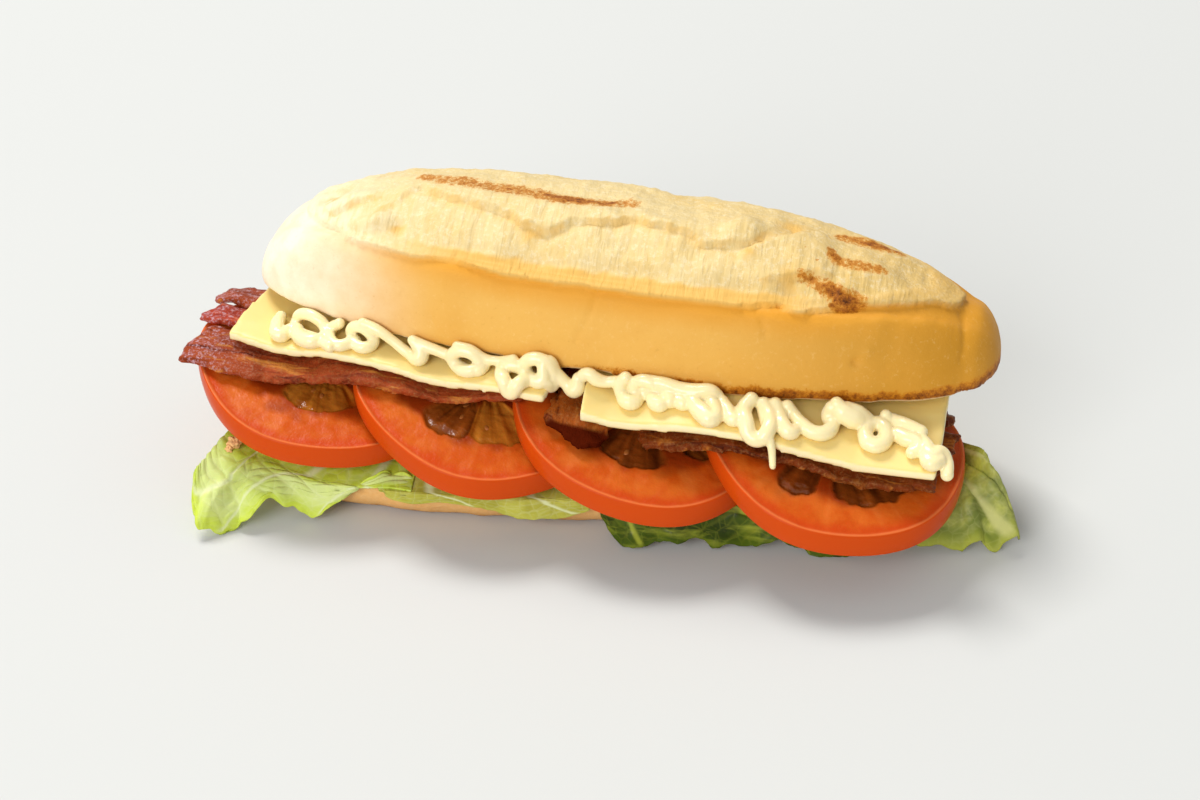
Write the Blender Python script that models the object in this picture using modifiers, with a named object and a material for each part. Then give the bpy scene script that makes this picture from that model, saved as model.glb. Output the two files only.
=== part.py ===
"""A BLT in a long crusty roll: lettuce, fanned tomato slices, bacon, sliced cheese, mayonnaise.

Lengths are metres, Z is up and the front of the sandwich faces -Y. The fillings are laid one on
another on a height raster, so that every sheet sags over what carries it and stays clear of it.
The raster holds heights before the droop: drop() then lowers all fillings alike to the front and
to the back, which keeps their gaps.
"""

import math

import bmesh
import bpy
import numpy as np
from mathutils import Vector, noise

# Roll, lower half
BASE_CENTRE = (-0.008, 0.003)
BASE_HALF_LENGTH = 0.094
BASE_HALF_WIDTH = 0.0345
BASE_YAW = math.radians(6.0)
BASE_TOP = 0.0145
BASE_BLUNTNESS = 3.4

# Roll, upper half
CROWN_CENTRE = (-0.004, 0.0135)
CROWN_HALF_LENGTH = 0.101
CROWN_HALF_WIDTH = 0.0335
CROWN_HEIGHT = 0.0365
CROWN_YAW = math.radians(-3.0)
CROWN_EDGE = 0.0435
CROWN_TILT_BACK = math.tan(math.radians(4.5))
CROWN_TILT_RIGHT = math.tan(math.radians(1.9))
CROWN_END_LIFT = 0.005
CREASE_HEIGHT = 0.0235
CREASE_LEDGE = 0.0016

# Tomato slices: centre x, centre y, radius
TOMATOES = ((-0.081, -0.006, 0.0345), (-0.036, -0.009, 0.0350),
            (0.007, -0.0115, 0.0350), (0.057, -0.015, 0.0340))
TOMATO_THICK = 0.0062
TOMATO_TOP = 0.0305
TOMATO_LEAN = math.tan(math.radians(9.5))

# Rashers and cheese slices: each has a centre, half-length, half-width and turn in degrees
BACON_THICK = 0.0020
RASHERS = {
    "bacon_front_left": ((-0.0705, -0.0163), 0.0490, 0.0082, -1.0),
    "bacon_red_left": ((-0.0800, -0.0005), 0.0400, 0.0048, 0.0),
    "bacon_back_left": ((-0.0740, 0.0120), 0.0460, 0.0052, 1.0),
    "bacon_middle": ((-0.0075, -0.0225), 0.0130, 0.0085, 82.0),
    "bacon_front_right": ((0.0460, -0.0225), 0.0400, 0.0115, -1.0),
    "bacon_back_right": ((0.0430, 0.0078), 0.0470, 0.0120, -4.0),
}
CHEESE_THICK = 0.0025
CHEESES = {
    "cheese_left": ((-0.0570, 0.0110), 0.0450, 0.0330, -8.0),
    "cheese_right": ((0.0395, 0.0010), 0.0460, 0.0340, -2.5),
}
LEAF_THICK = 0.0008

# Mayonnaise rope: its knots are x, y and, for a loop, its half-sizes in x and y; blobs are x, y, radius
MAYO_RADIUS = 0.0020
MAYO_LEAN = 0.62
MAYO_LEFT = ((-0.0925, -0.0135), (-0.0831, -0.0128, 0.0039, 0.0050), (-0.0745, -0.0175, 0.0020, 0.0036),
             (-0.0681, -0.0158, 0.0032, 0.0046), (-0.0610, -0.0150), (-0.0537, -0.0208), (-0.0517, -0.0180),
             (-0.0480, -0.0165), (-0.0388, -0.0202, 0.0038, 0.0048), (-0.0320, -0.0195),
             (-0.0253, -0.0246, 0.0028, 0.0034), (-0.0187, -0.0228, 0.0034, 0.0044), (-0.0140, -0.0205),
             (-0.0100, -0.0190))
MAYO_LEFT_BLOBS = ((-0.0915, -0.0130, 0.0028), (-0.0517, -0.0185, 0.0028), (-0.0100, -0.0190, 0.0027))
MAYO_RIGHT = ((-0.0045, -0.0215), (-0.0020, -0.0240), (0.0015, -0.0220), (0.0034, -0.0256), (0.0063, -0.0293),
              (0.0085, -0.0254), (0.0075, -0.0225), (0.0105, -0.0220), (0.0134, -0.0240), (0.0155, -0.0278),
              (0.0193, -0.0262), (0.0230, -0.0250), (0.0268, -0.0280), (0.0324, -0.0295), (0.0364, -0.0250),
              (0.0361, -0.0300), (0.0394, -0.0340), (0.0412, -0.0285), (0.0451, -0.0311), (0.0462, -0.0245),
              (0.0508, -0.0291), (0.0548, -0.0303), (0.0575, -0.0263), (0.0610, -0.0240),
              (0.0690, -0.0268, 0.0036, 0.0046), (0.0755, -0.0257), (0.0790, -0.0296), (0.0828, -0.0332),
              (0.0841, -0.0300))
MAYO_RIGHT_BLOBS = ((0.0137, -0.0300, 0.0026), (0.0193, -0.0266, 0.0029), (0.0265, -0.0254, 0.0027),
                    (0.0268, -0.0325, 0.0024), (0.0324, -0.0301, 0.0029), (0.0451, -0.0311, 0.0028),
                    (0.0600, -0.0250, 0.0034), (0.0635, -0.0250, 0.0034), (0.0755, -0.0255, 0.0029),
                    (0.0790, -0.0296, 0.0026), (0.0828, -0.0332, 0.0024))

CLEAR = 0.0008
SHARP = math.radians(50)

# Droop of the fillings to the front and to the back of this line
CREST = -0.005
FRONT_DROOP = 4.5
BACK_DROOP = 1.5

# Raster of heights, seen from above
STEP = 0.002
XS = np.arange(-0.134, 0.1301, STEP)
YS = np.arange(-0.064, 0.0661, STEP)
GRID_X, GRID_Y = np.meshgrid(XS, YS, indexing="ij")

food = bpy.data.collections.new("blt_sandwich")


def material(name, colour, roughness):
    made = bpy.data.materials.new(name)
    made.use_nodes = True
    shader = made.node_tree.nodes["Principled BSDF"]
    shader.inputs["Base Color"].default_value = (*colour, 1)
    shader.inputs["Roughness"].default_value = roughness
    made.diffuse_color = (*colour, 1)
    return made


CRUST = material("crust", (0.80, 0.52, 0.20), 0.7)
CRUMB = material("crumb", (0.76, 0.50, 0.22), 0.8)
LETTUCE = material("lettuce", (0.33, 0.48, 0.06), 0.45)
TOMATO = material("tomato", (0.66, 0.11, 0.03), 0.3)
BACON = material("bacon", (0.27, 0.06, 0.04), 0.4)
CHEESE = material("cheese", (0.87, 0.74, 0.38), 0.4)
MAYO = material("mayonnaise", (0.93, 0.86, 0.62), 0.25)


def drop(y):
    front = np.maximum(0, CREST - y)
    back = np.maximum(0, y - CREST)
    return FRONT_DROOP * front**2 + BACK_DROOP * back**2


def finish(name, mesh, look):
    """A named object of this mesh, its faces turned outwards and shaded smooth up to its sharp edges."""
    bmesh.ops.recalc_face_normals(mesh, faces=mesh.faces)
    if mesh.calc_volume(signed=True) < 0:
        bmesh.ops.reverse_faces(mesh, faces=mesh.faces)
    data = bpy.data.meshes.new(name)
    mesh.to_mesh(data)
    mesh.free()
    data.shade_smooth()
    data.set_sharp_from_angle(angle=SHARP)
    data.materials.append(look)
    made = bpy.data.objects.new(name, data)
    food.objects.link(made)
    return made


def turned(x, y, angle):
    c, s = math.cos(angle), math.sin(angle)
    return x * c - y * s, x * s + y * c


def sample(field, x, y):
    """Height of the raster between its points."""
    i = (x - XS[0]) / STEP
    j = (y - YS[0]) / STEP
    a = int(min(max(math.floor(i), 0), len(XS) - 2))
    b = int(min(max(math.floor(j), 0), len(YS) - 2))
    u, v = i - a, j - b
    low = field[a, b] * (1 - u) + field[a + 1, b] * u
    high = field[a, b + 1] * (1 - u) + field[a + 1, b + 1] * u
    return float(low * (1 - v) + high * v)


def around(field):
    return [np.roll(field, shift, axis) for axis in (0, 1) for shift in (-1, 1)]


def widened(field, steps):
    for _ in range(steps):
        field = np.maximum.reduce([field, *around(field)])
    return field


def draped(mask, under, reach, passes, sag):
    """Lower face of a limp sheet that starts flat and sags until the things below carry it."""
    carried = widened(under, reach) + CLEAR
    sheet = np.full_like(carried, carried[mask].max())
    near = [mask, *around(mask)]
    count = np.maximum(sum(part.astype(float) for part in near), 1)
    for _ in range(passes):
        total = sum(part * field for part, field in zip(near, [sheet, *around(sheet)]))
        sheet = np.maximum(total / count - sag, carried)
    return sheet


def stood(sheet, thick):
    """Height of a sheet's upper face over its lower one, larger where it is steep."""
    slope = np.hypot(*np.gradient(sheet, STEP))
    return thick * np.sqrt(1 + np.minimum(slope, 1.6) ** 2)


def lower_roll():
    """The lower half: a flat patch to stand on, a round side and a cut face under the leaves."""
    rings, top_faces = 20, 7
    mesh = bmesh.new()
    bmesh.ops.create_uvsphere(mesh, u_segments=rings, v_segments=24, radius=1)
    for vert in mesh.verts:
        axis, back, up = vert.co.z, vert.co.x, vert.co.y
        ring = round(math.atan2(up, back) / math.tau * rings) % rings
        body = math.sqrt(max(0, 1 - axis * axis)) ** (2 / BASE_BLUNTNESS)
        x = BASE_HALF_LENGTH * math.copysign(abs(axis) ** (2 / BASE_BLUNTNESS), axis)
        width = BASE_HALF_WIDTH * body
        if ring <= top_faces:
            y = width * (1 - 2 * ring / top_faces) * 0.985
            z = BASE_TOP
        else:
            turn = math.pi * (ring - top_faces) / (rings - top_faces)
            out = -math.cos(turn)
            y = width * math.copysign(abs(out) ** 0.32, out)
            z = (BASE_TOP - 0.004) * (1 - min(1, 1.12 * math.sin(turn)) ** 1.2 * min(1, 1.3 * body))
        px, py = turned(x, y, BASE_YAW)
        px += BASE_CENTRE[0]
        py += BASE_CENTRE[1]
        vert.co = (px, py, max(0, z - (drop(py) if ring <= top_faces else 0.5 * drop(py) * z / BASE_TOP)))
    return finish("bun_bottom", mesh, CRUMB)


def base_mask(grow):
    x, y = turned(GRID_X - BASE_CENTRE[0], GRID_Y - BASE_CENTRE[1], -BASE_YAW)
    p = BASE_BLUNTNESS
    return np.abs(x / (BASE_HALF_LENGTH + grow)) ** p + np.abs(y / (BASE_HALF_WIDTH + grow)) ** p < 1


def tomato_plane(slice_at, x):
    return TOMATO_TOP - TOMATO_LEAN * (x - slice_at[0])


def tomato(name, slice_at):
    """A round slice with its skin for a rim, leaning on the slice to its left."""
    sides, rings = 30, 9
    reach = (0, 0.34, 0.68, 0.955, 1.0, 1.0, 0.955, 0.68, 0.34, 0)
    level = (1, 1, 1, 1, 0.62, -0.62, -1, -1, -1, -1)
    mesh = bmesh.new()
    bmesh.ops.create_uvsphere(mesh, u_segments=sides, v_segments=rings, radius=1)
    for vert in mesh.verts:
        ring = round(math.acos(max(-1, min(1, vert.co.z))) / math.pi * rings)
        angle = math.atan2(vert.co.y, vert.co.x)
        lobed = 1 + 0.012 * math.sin(5 * angle + slice_at[0] * 90) + 0.010 * math.sin(2 * angle + 1)
        radius = slice_at[2] * reach[ring] * lobed
        x = slice_at[0] + radius * math.cos(angle)
        y = slice_at[1] + radius * math.sin(angle)
        z = tomato_plane(slice_at, x) + (level[ring] - 1) * TOMATO_THICK / 2
        vert.co = (x, y, z - float(drop(y)))
    return finish(name, mesh, TOMATO)


def tomato_mask(slice_at, grow):
    return np.hypot(GRID_X - slice_at[0], GRID_Y - slice_at[1]) < slice_at[2] * 1.02 + grow


def rope_points(knots):
    """Points along the rope: straight to each knot, and once round it where it is a loop."""
    points = []
    for knot in knots:
        if len(knot) == 2:
            points.append(knot)
            continue
        for turn in np.linspace(-0.5, 0.72, 9) * math.tau:
            points.append((knot[0] + knot[2] * math.cos(turn), knot[1] + knot[3] * math.sin(turn)))
    return points


def mayo(name, knots, blobs, under):
    """Piped rope on the cheese, merged with its blobs to one skin.

    Where a loop would run into the upper roll, it leans up against the roll instead.
    """
    bed = widened(under, 1) + CLEAR

    def centre(x, y, radius):
        local_x = min(0.999, abs(crown_local(x, y)[0]) / CROWN_HALF_LENGTH)
        rim = CROWN_CENTRE[1] + CROWN_YAW * x - CROWN_HALF_WIDTH * (1 - local_x**2.6) ** (1 / 2.6)
        front = min(y, rim - radius - 0.0012)
        return x, front, sample(bed, x, front) - float(drop(front)) + radius + MAYO_LEAN * (y - front)

    curve = bpy.data.curves.new(name, "CURVE")
    curve.dimensions = "3D"
    curve.bevel_depth = MAYO_RADIUS
    curve.bevel_resolution = 2
    curve.use_fill_caps = True
    curve.resolution_u = 4
    points = rope_points(knots)
    spline = curve.splines.new("BEZIER")
    spline.bezier_points.add(len(points) - 1)
    for knot, (x, y) in zip(spline.bezier_points, points):
        knot.co = centre(x, y, MAYO_RADIUS)
        knot.handle_left_type = knot.handle_right_type = "AUTO"
    rope = bpy.data.objects.new(name + "_path", curve)
    food.objects.link(rope)
    bpy.context.view_layer.update()
    skin = bmesh.new()
    skin.from_mesh(rope.evaluated_get(bpy.context.evaluated_depsgraph_get()).to_mesh())
    bpy.data.objects.remove(rope)
    bmesh.ops.remove_doubles(skin, verts=skin.verts, dist=0.00001)
    for x, y, radius in blobs:
        ball = bmesh.ops.create_icosphere(skin, subdivisions=2, radius=radius)["verts"]
        bmesh.ops.translate(skin, verts=ball, vec=centre(x, y, radius))
    made = finish(name, skin, MAYO)
    merge = made.modifiers.new("one skin", "REMESH")
    merge.mode = "VOXEL"
    merge.voxel_size = 0.0008
    merge.use_smooth_shade = True
    fewer = made.modifiers.new("fewer faces", "DECIMATE")
    fewer.ratio = 0.24


def strip_mask(centre, half_length, half_width, turn, grow):
    x, y = turned(GRID_X - centre[0], GRID_Y - centre[1], -math.radians(turn))
    return (np.abs(x) < half_length + grow) & (np.abs(y) < half_width + grow)


def sheet(name, plan, cells, lower, thick, look):
    """Closed solid of a sheet: the lower face is lifted by the thickness to make the upper one."""
    rise = stood(lower, thick)
    mesh = bmesh.new()
    bmesh.ops.create_grid(mesh, x_segments=cells[0], y_segments=cells[1], size=1)
    for vert in mesh.verts:
        x, y = plan(vert.co.x, vert.co.y)
        vert.co = (x, y, sample(lower, x, y))
    bmesh.ops.triangulate(mesh, faces=mesh.faces)
    lifted = bmesh.ops.extrude_face_region(mesh, geom=mesh.faces[:])["geom"]
    for vert in lifted:
        if isinstance(vert, bmesh.types.BMVert):
            vert.co.z += sample(rise, vert.co.x, vert.co.y)
    for vert in mesh.verts:
        vert.co.z -= float(drop(vert.co.y))
    return finish(name, mesh, look)


def rasher_plan(centre, half_length, half_width, turn):
    """A strip whose two long edges wander and whose ends are cut a little askew."""

    def plan(u, v):
        wander = 0.0006 * math.sin(7 * u + 40 * centre[0]) + 0.0003 * math.sin(13 * u + v)
        skew = 0.0030 * v * math.copysign(1, u) * abs(u) ** 3
        pinch = 0.98 - 0.12 * abs(u) ** 6 + 0.03 * math.sin(5 * u + 60 * centre[1])
        x, y = turned(half_length * u + skew, half_width * v * pinch + wander, math.radians(turn))
        return centre[0] + x, centre[1] + y

    return plan


def cheese_plan(centre, half_length, half_width, turn):
    """A rectangle with softly rounded corners."""

    def plan(u, v):
        corner = 1 - 0.012 * (u * u * v * v) ** 3
        x, y = turned(half_length * u * corner, half_width * v * corner, math.radians(turn))
        return centre[0] + x, centre[1] + y

    return plan


LEAF_REST = BASE_TOP + 0.0012


def along(points, u):
    """The point at u, from 0 to 1, of a line through evenly counted points."""
    places = np.linspace(0, 1, len(points))
    return [float(np.interp(u, places, axis)) for axis in zip(*points)]


def leaf(name, inner, edges, tips, wave, cells, room):
    """A leaf that comes out from under the tomato and hangs over the roll's edge.

    Three lines guide it: inner holds (x, y) on the cut face, edges and tips hold (x, y, z).
    wave is (height, length, phase) of its ruffle. room holds two rasters between which it has to fit:
    the underside of the tomatoes and the roll's cut face.
    """
    tomato_under, base_over = room
    mesh = bmesh.new()
    bmesh.ops.create_grid(mesh, x_segments=cells[0], y_segments=cells[1], size=1)
    for vert in mesh.verts:
        u, v = (vert.co.x + 1) / 2, (vert.co.y + 1) / 2
        root = Vector(along(inner, u))
        *edge, edge_z = along(edges, u)
        edge = Vector(edge)
        *tip, tip_z = along(tips, u)
        tip = Vector(tip)
        out = (tip - edge).normalized()
        if v < 0.4:
            flat = root.lerp(edge, v / 0.4)
            z = LEAF_REST + (edge_z - LEAF_REST) * (v / 0.4) - float(drop(flat.y))
        else:
            t = (v - 0.4) / 0.6
            knee = edge.lerp(tip, 0.65) + out * 0.001
            flat = (1 - t) ** 2 * edge + 2 * t * (1 - t) * knee + t * t * tip
            z = (1 - t * t) * (edge_z - float(drop(edge.y))) + t * t * tip_z
        swing = math.sin(math.tau * (flat.x * abs(out.y) + flat.y * abs(out.x)) / wave[1] + wave[2] + 1.2 * v)
        ruffle = wave[0] * v**1.5 * swing
        flat = flat + out * (0.6 * abs(ruffle) * max(0, v - 0.4))
        z += max(ruffle, 0) if v < 0.6 else ruffle
        vert.co = (flat.x, flat.y, z)
    for vert in mesh.verts:
        x, y, z = vert.co
        ceiling = sample(tomato_under, x, y) - float(drop(y)) - 0.0011
        floor = sample(base_over, x, y) - float(drop(y)) + 0.0010 if sample(base_over, x, y) > 0 else 0.0008
        vert.co.z = max(min(z, ceiling), floor)
    bmesh.ops.triangulate(mesh, faces=mesh.faces)
    made = finish(name, mesh, LETTUCE)
    solid = made.modifiers.new("thickness", "SOLIDIFY")
    solid.thickness = LEAF_THICK
    solid.offset = 0
    return made


def roll_edge(x, side):
    """Y of the lower roll's widest line at this x."""
    local = min(1, abs((x - BASE_CENTRE[0]) / BASE_HALF_LENGTH))
    half = BASE_HALF_WIDTH * (1 - local**BASE_BLUNTNESS) ** (1 / BASE_BLUNTNESS)
    return BASE_CENTRE[1] + math.tan(BASE_YAW) * (x - BASE_CENTRE[0]) + side * (half + 0.001)


def crown_local(x, y):
    return turned(x - CROWN_CENTRE[0], y - CROWN_CENTRE[1], -CROWN_YAW)


def crown_level(x, y):
    """The plane of the upper roll's cut face."""
    return CROWN_EDGE - CROWN_TILT_BACK * (y - CROWN_CENTRE[1] + CROWN_HALF_WIDTH) - CROWN_TILT_RIGHT * x


def upper_roll(pile):
    """The upper half: a burst crown between two crease ledges, a smooth side and a cut face."""
    rings, over, side = 34, 22, 6
    soft = widened(pile, 2) + CLEAR
    mesh = bmesh.new()
    bmesh.ops.create_uvsphere(mesh, u_segments=rings, v_segments=32, radius=1)
    for vert in mesh.verts:
        axis, back, up = vert.co.z, vert.co.x, vert.co.y
        ring = round(math.atan2(up, back) / math.tau * rings) % rings
        round_off = math.sqrt(max(0, 1 - axis * axis))
        x = CROWN_HALF_LENGTH * math.copysign(abs(axis) ** 0.77, axis)
        width = CROWN_HALF_WIDTH * round_off**0.77
        height = CROWN_HEIGHT * min(1, round_off**0.95 * 1.03)
        inset = 0.0
        if ring <= over:
            level = ((CREASE_HEIGHT / max(height, 0.001)) ** -6 + 0.93**-6) ** (-1 / 6)
            crease = math.asin(level**1.15)
            step = min(ring, over - ring)
            if step <= side:
                turn = crease * step / side
                inset = -CREASE_LEDGE * 0.6 * (step / side) ** 2 * round_off
            else:
                share = (step - side - 1) / (over / 2 - side - 1)
                turn = crease + (math.pi / 2 - crease) * (0.95 * share + 0.05)
                inset = CREASE_LEDGE * round_off * max(0, 1 - (step - side - 1) / 3)
            y = (width - inset) * math.cos(turn) ** 0.87
            if ring > over / 2:
                y = -y
            z = (height - inset) * math.sin(turn) ** 0.87
        else:
            y = -width * math.cos(math.pi * (ring - over) / (rings - over))
            z = 0
        rough = noise.noise(Vector((x * 45, y * 60, z * 60 + 3))) * 0.0012 * round_off
        burst = ring <= over and min(ring, over - ring) > side
        px, py = turned(x, y, CROWN_YAW)
        px += CROWN_CENTRE[0]
        py += CROWN_CENTRE[1]
        base = float(crown_level(px, py)) + CROWN_END_LIFT * max(0, axis) ** 9
        carried = sample(soft, px, py) - float(drop(py))
        if z == 0:
            vert.co = (px, py, max(base, carried))
        else:
            vert.co = (px, py, max(base + z + (rough if burst else 0), carried + 0.3 * z))
    return finish("bun_top", mesh, CRUST)


def centre_on_origin():
    """Moves the whole sandwich so that the middle of its box is over the origin."""
    bpy.context.view_layer.update()
    graph = bpy.context.evaluated_depsgraph_get()
    corners = [Vector(corner) for made in food.objects for corner in made.evaluated_get(graph).bound_box]
    for axis in (0, 1):
        reach = [corner[axis] for corner in corners]
        for made in food.objects:
            made.location[axis] = -(min(reach) + max(reach)) / 2


def main():
    for old in list(bpy.data.objects):
        bpy.data.objects.remove(old)
    bpy.context.scene.collection.children.link(food)
    bpy.context.scene.unit_settings.scale_length = 1.0

    lower_roll()
    base_over = np.where(base_mask(0.001), BASE_TOP, 0)
    tomato_under = np.full_like(GRID_X, 1.0)
    pile = np.where(base_mask(0.012), BASE_TOP + 0.006, 0)
    for count, slice_at in enumerate(TOMATOES, 1):
        tomato(f"tomato_{count}", slice_at)
        mask = tomato_mask(slice_at, 0)
        under = tomato_plane(slice_at, GRID_X) - TOMATO_THICK
        tomato_under = np.where(tomato_mask(slice_at, 0.002), np.minimum(tomato_under, under), tomato_under)
        pile = np.where(mask, np.maximum(pile, tomato_plane(slice_at, GRID_X)), pile)

    room = (tomato_under, base_over)

    def over_roll(tips, side=-1):
        return [(tip[0], roll_edge(tip[0], side), LEAF_REST) for tip in tips]

    tips = ((-0.110, -0.045, 0.004), (-0.104, -0.052, 0.001), (-0.095, -0.046, 0.001), (-0.084, -0.039, 0.003),
            (-0.073, -0.038, 0.007), (-0.062, -0.036, 0.010), (-0.053, -0.035, 0.009))
    edges = ((-0.103, -0.024, 0.019), (-0.097, -0.030, 0.017), *over_roll(tips)[2:])
    leaf("lettuce_left", ((-0.094, 0.0), (-0.053, 0.0)), edges, tips, (0.0030, 0.030, 0.4), (18, 7), room)
    tips = ((-0.051, -0.036, 0.011), (-0.036, -0.036, 0.008), (-0.021, -0.035, 0.007), (-0.006, -0.033, 0.006))
    inner = ((-0.050, 0.0), (-0.006, 0.0))
    leaf("lettuce_middle", inner, over_roll(tips), tips, (0.0012, 0.034, 1.0), (12, 6), room)
    tips = ((-0.003, -0.031, 0.004), (0.008, -0.036, 0.001), (0.020, -0.034, 0.001),
            (0.033, -0.031, 0.002), (0.048, -0.030, 0.001), (0.060, -0.029, 0.001), (0.071, -0.027, 0.001))
    inner = ((-0.003, 0.0), (0.071, 0.0))
    leaf("lettuce_front_right", inner, over_roll(tips), tips, (0.0020, 0.026, 2.0), (20, 7), room)
    tips = ((0.077, -0.025, 0.001), (0.093, -0.022, 0.001), (0.107, -0.017, 0.001), (0.100, -0.011, 0.009))
    edges = ((0.075, -0.016, 0.0157), (0.087, -0.010, 0.0160), (0.094, -0.009, 0.0190),
             (0.0945, -0.006, 0.0240))
    inner = ((0.073, 0.004), (0.078, 0.012))
    leaf("lettuce_far_right", inner, edges, tips, (0.0030, 0.022, 0.0), (10, 7), room)
    tips = ((-0.085, 0.043, 0.009), (-0.030, 0.047, 0.006), (0.020, 0.050, 0.008), (0.064, 0.051, 0.010))
    inner = ((-0.085, 0.006), (0.064, 0.012))
    leaf("lettuce_back", inner, over_roll(tips, 1), tips, (0.0030, 0.034, 0.8), (26, 5), room)

    laid = pile.copy()
    for name, place in RASHERS.items():
        mask = strip_mask(*place, 0.0035)
        lower = draped(mask, pile, 2, 220, np.where(pile < 0.024, 0.00007, 0.00003))
        cells = (max(6, round(place[1] / 0.0033)), 4)
        sheet(name, rasher_plan(*place), cells, lower, BACON_THICK, BACON)
        mask = strip_mask(*place, 0.0015)
        laid = np.where(mask, np.maximum(laid, lower + stood(lower, BACON_THICK)), laid)
    for name, place in CHEESES.items():
        mask = strip_mask(*place, 0.002)
        lower = draped(mask, laid, 3, 260, 0.00003 + 0.00010 * np.clip((GRID_Y - 0.018) / 0.02, 0, 1))
        sheet(name, cheese_plan(*place), (13, 9), lower, CHEESE_THICK, CHEESE)
        laid = np.where(mask, np.maximum(laid, lower + stood(lower, CHEESE_THICK)), laid)
    mayo("mayo_left", MAYO_LEFT, MAYO_LEFT_BLOBS, laid)
    mayo("mayo_right", MAYO_RIGHT, MAYO_RIGHT_BLOBS, laid)
    upper_roll(laid)
    centre_on_origin()


main()
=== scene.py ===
import math
import random

import bmesh
import bpy
from mathutils import Matrix, Vector, noise
from mathutils.bvhtree import BVHTree


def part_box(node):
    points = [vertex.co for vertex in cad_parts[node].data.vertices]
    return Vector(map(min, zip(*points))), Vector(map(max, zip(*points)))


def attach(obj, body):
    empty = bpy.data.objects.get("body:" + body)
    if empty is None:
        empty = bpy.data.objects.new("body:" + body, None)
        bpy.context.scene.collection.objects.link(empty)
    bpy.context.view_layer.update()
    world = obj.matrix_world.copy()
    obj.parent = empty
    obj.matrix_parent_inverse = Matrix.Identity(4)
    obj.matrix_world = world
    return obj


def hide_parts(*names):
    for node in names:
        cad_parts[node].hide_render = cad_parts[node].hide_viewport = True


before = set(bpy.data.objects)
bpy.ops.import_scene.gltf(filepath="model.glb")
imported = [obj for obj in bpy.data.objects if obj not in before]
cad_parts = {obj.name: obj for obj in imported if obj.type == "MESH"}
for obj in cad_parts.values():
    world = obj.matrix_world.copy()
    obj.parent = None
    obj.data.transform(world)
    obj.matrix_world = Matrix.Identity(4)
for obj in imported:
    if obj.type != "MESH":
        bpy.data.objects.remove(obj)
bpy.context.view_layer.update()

bl_info = {
    "name": "BLT sandwich",
    "version": (1, 0, 0),
    "blender": (4, 5, 0),
    "location": "3D View > Sidebar > Sandwich",
    "description": "Dresses the sandwich's solids with crust, leaves, tomato, bacon, cheese and mayonnaise",
    "category": "Object",
}

MM = 0.001
# Where the origin of the CAD's layout stands in the frame
LAYOUT_ORIGIN = Vector((0.0079, 0.0003, 0))
DOWN, UP = Vector((0, 0, -1)), Vector((0, 0, 1))
# Room that is kept between pieces that would touch
ROOM = 0.0008

# The upper roll: its middle and turn, half its length and width, how square its outline is, then the height
# of its cut face at the front and how that face falls towards the back and the right
CROWN_MIDDLE = (Vector(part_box("bun_top")[0]) + Vector(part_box("bun_top")[1])) / 2
CROWN_YAW = math.radians(-3.0)
CROWN_HALF_LENGTH = 0.101
CROWN_HALF_WIDTH = 0.0335
CROWN_SQUARENESS = 2.6
CROWN_CUT = 0.0435
CROWN_SLOPE_BACK = math.tan(math.radians(4.5))
CROWN_SLOPE_RIGHT = math.tan(math.radians(1.9))
# The lower roll in the CAD's layout: its middle and how it slants, then the same measures of its widest line
BASE_MIDDLE = (-0.008, 0.003)
BASE_SLANT = math.tan(math.radians(6))
BASE_HALF_LENGTH = 0.094
BASE_HALF_WIDTH = 0.0345
BASE_SQUARENESS = 3.4


def linear(code):
    """An sRGB hex colour as linear red, green, blue and alpha."""
    parts = [int(code[i:i + 2], 16) / 255 for i in (1, 3, 5)]
    return (*(p / 12.92 if p <= 0.04045 else ((p + 0.055) / 1.055) ** 2.4 for p in parts), 1.0)


def step(low, high, value):
    """0 below low, 1 above high and a soft change between; low may be the larger."""
    t = min(1.0, max(0.0, (value - low) / (high - low)))
    return t * t * (3 - 2 * t)


def colour_setting(name, code, about):
    return bpy.props.FloatVectorProperty(
        name=name, description=about, subtype="COLOR", size=4, min=0, max=1, default=linear(code))


def length_setting(name, value, about):
    return bpy.props.FloatProperty(name=name, description=about, unit="LENGTH", default=value, min=0, precision=5)


def tinted(colour, tint):
    """A colour multiplied by shares of red, green and blue."""
    return tuple(part * share for part, share in zip(colour[:3], tint)) + (1.0,)


def fill(tree, node, inputs):
    """Gives a node its inputs: values, or the outputs that feed them."""
    for socket, value in inputs.items():
        if isinstance(value, bpy.types.NodeSocket):
            tree.links.new(value, node.inputs[socket])
        else:
            node.inputs[socket].default_value = value


def add(tree, kind, inputs=None, stops=(), **settings):
    """Adds a shader node; stops are the places and colours of a colour ramp."""
    made = tree.nodes.new("ShaderNode" + kind)
    for name, value in settings.items():
        setattr(made, name, value)
    fill(tree, made, inputs or {})
    for count, (place, colour) in enumerate(stops):
        ramp = made.color_ramp.elements
        element = ramp[count] if count < len(ramp) else ramp.new(1.0)
        element.position = place
        element.color = colour
    return made


def mask(tree, name):
    """What the mesh's own layer of this name holds."""
    return add(tree, "Attribute", attribute_name=name).outputs["Fac"]


def clouds(tree, place, size, detail=2, roughness=0.5, distortion=0.0):
    """Noise from 0 to 1 whose lumps are about this long."""
    return add(tree, "TexNoise", {"Vector": place, "Scale": 1 / size, "Detail": detail, "Roughness": roughness,
                                  "Distortion": distortion}).outputs[0]


def mapped(tree, value, low=0.0, high=1.0, start=0.0, end=1.0, **settings):
    """A value moved from the range low to high into the range start to end."""
    return add(tree, "MapRange", {0: value, 1: low, 2: high, 3: start, 4: end}, **settings).outputs[0]


def times(tree, one, other):
    return add(tree, "Math", {0: one, 1: other}, operation="MULTIPLY").outputs[0]


def coats(tree, colour, *others):
    """A colour under others, which are laid over it in turn, each as its share and its colour."""
    for share, other in others:
        colour = add(tree, "Mix", {0: share, 6: colour, 7: other}, data_type="RGBA").outputs[2]
    return colour


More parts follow.
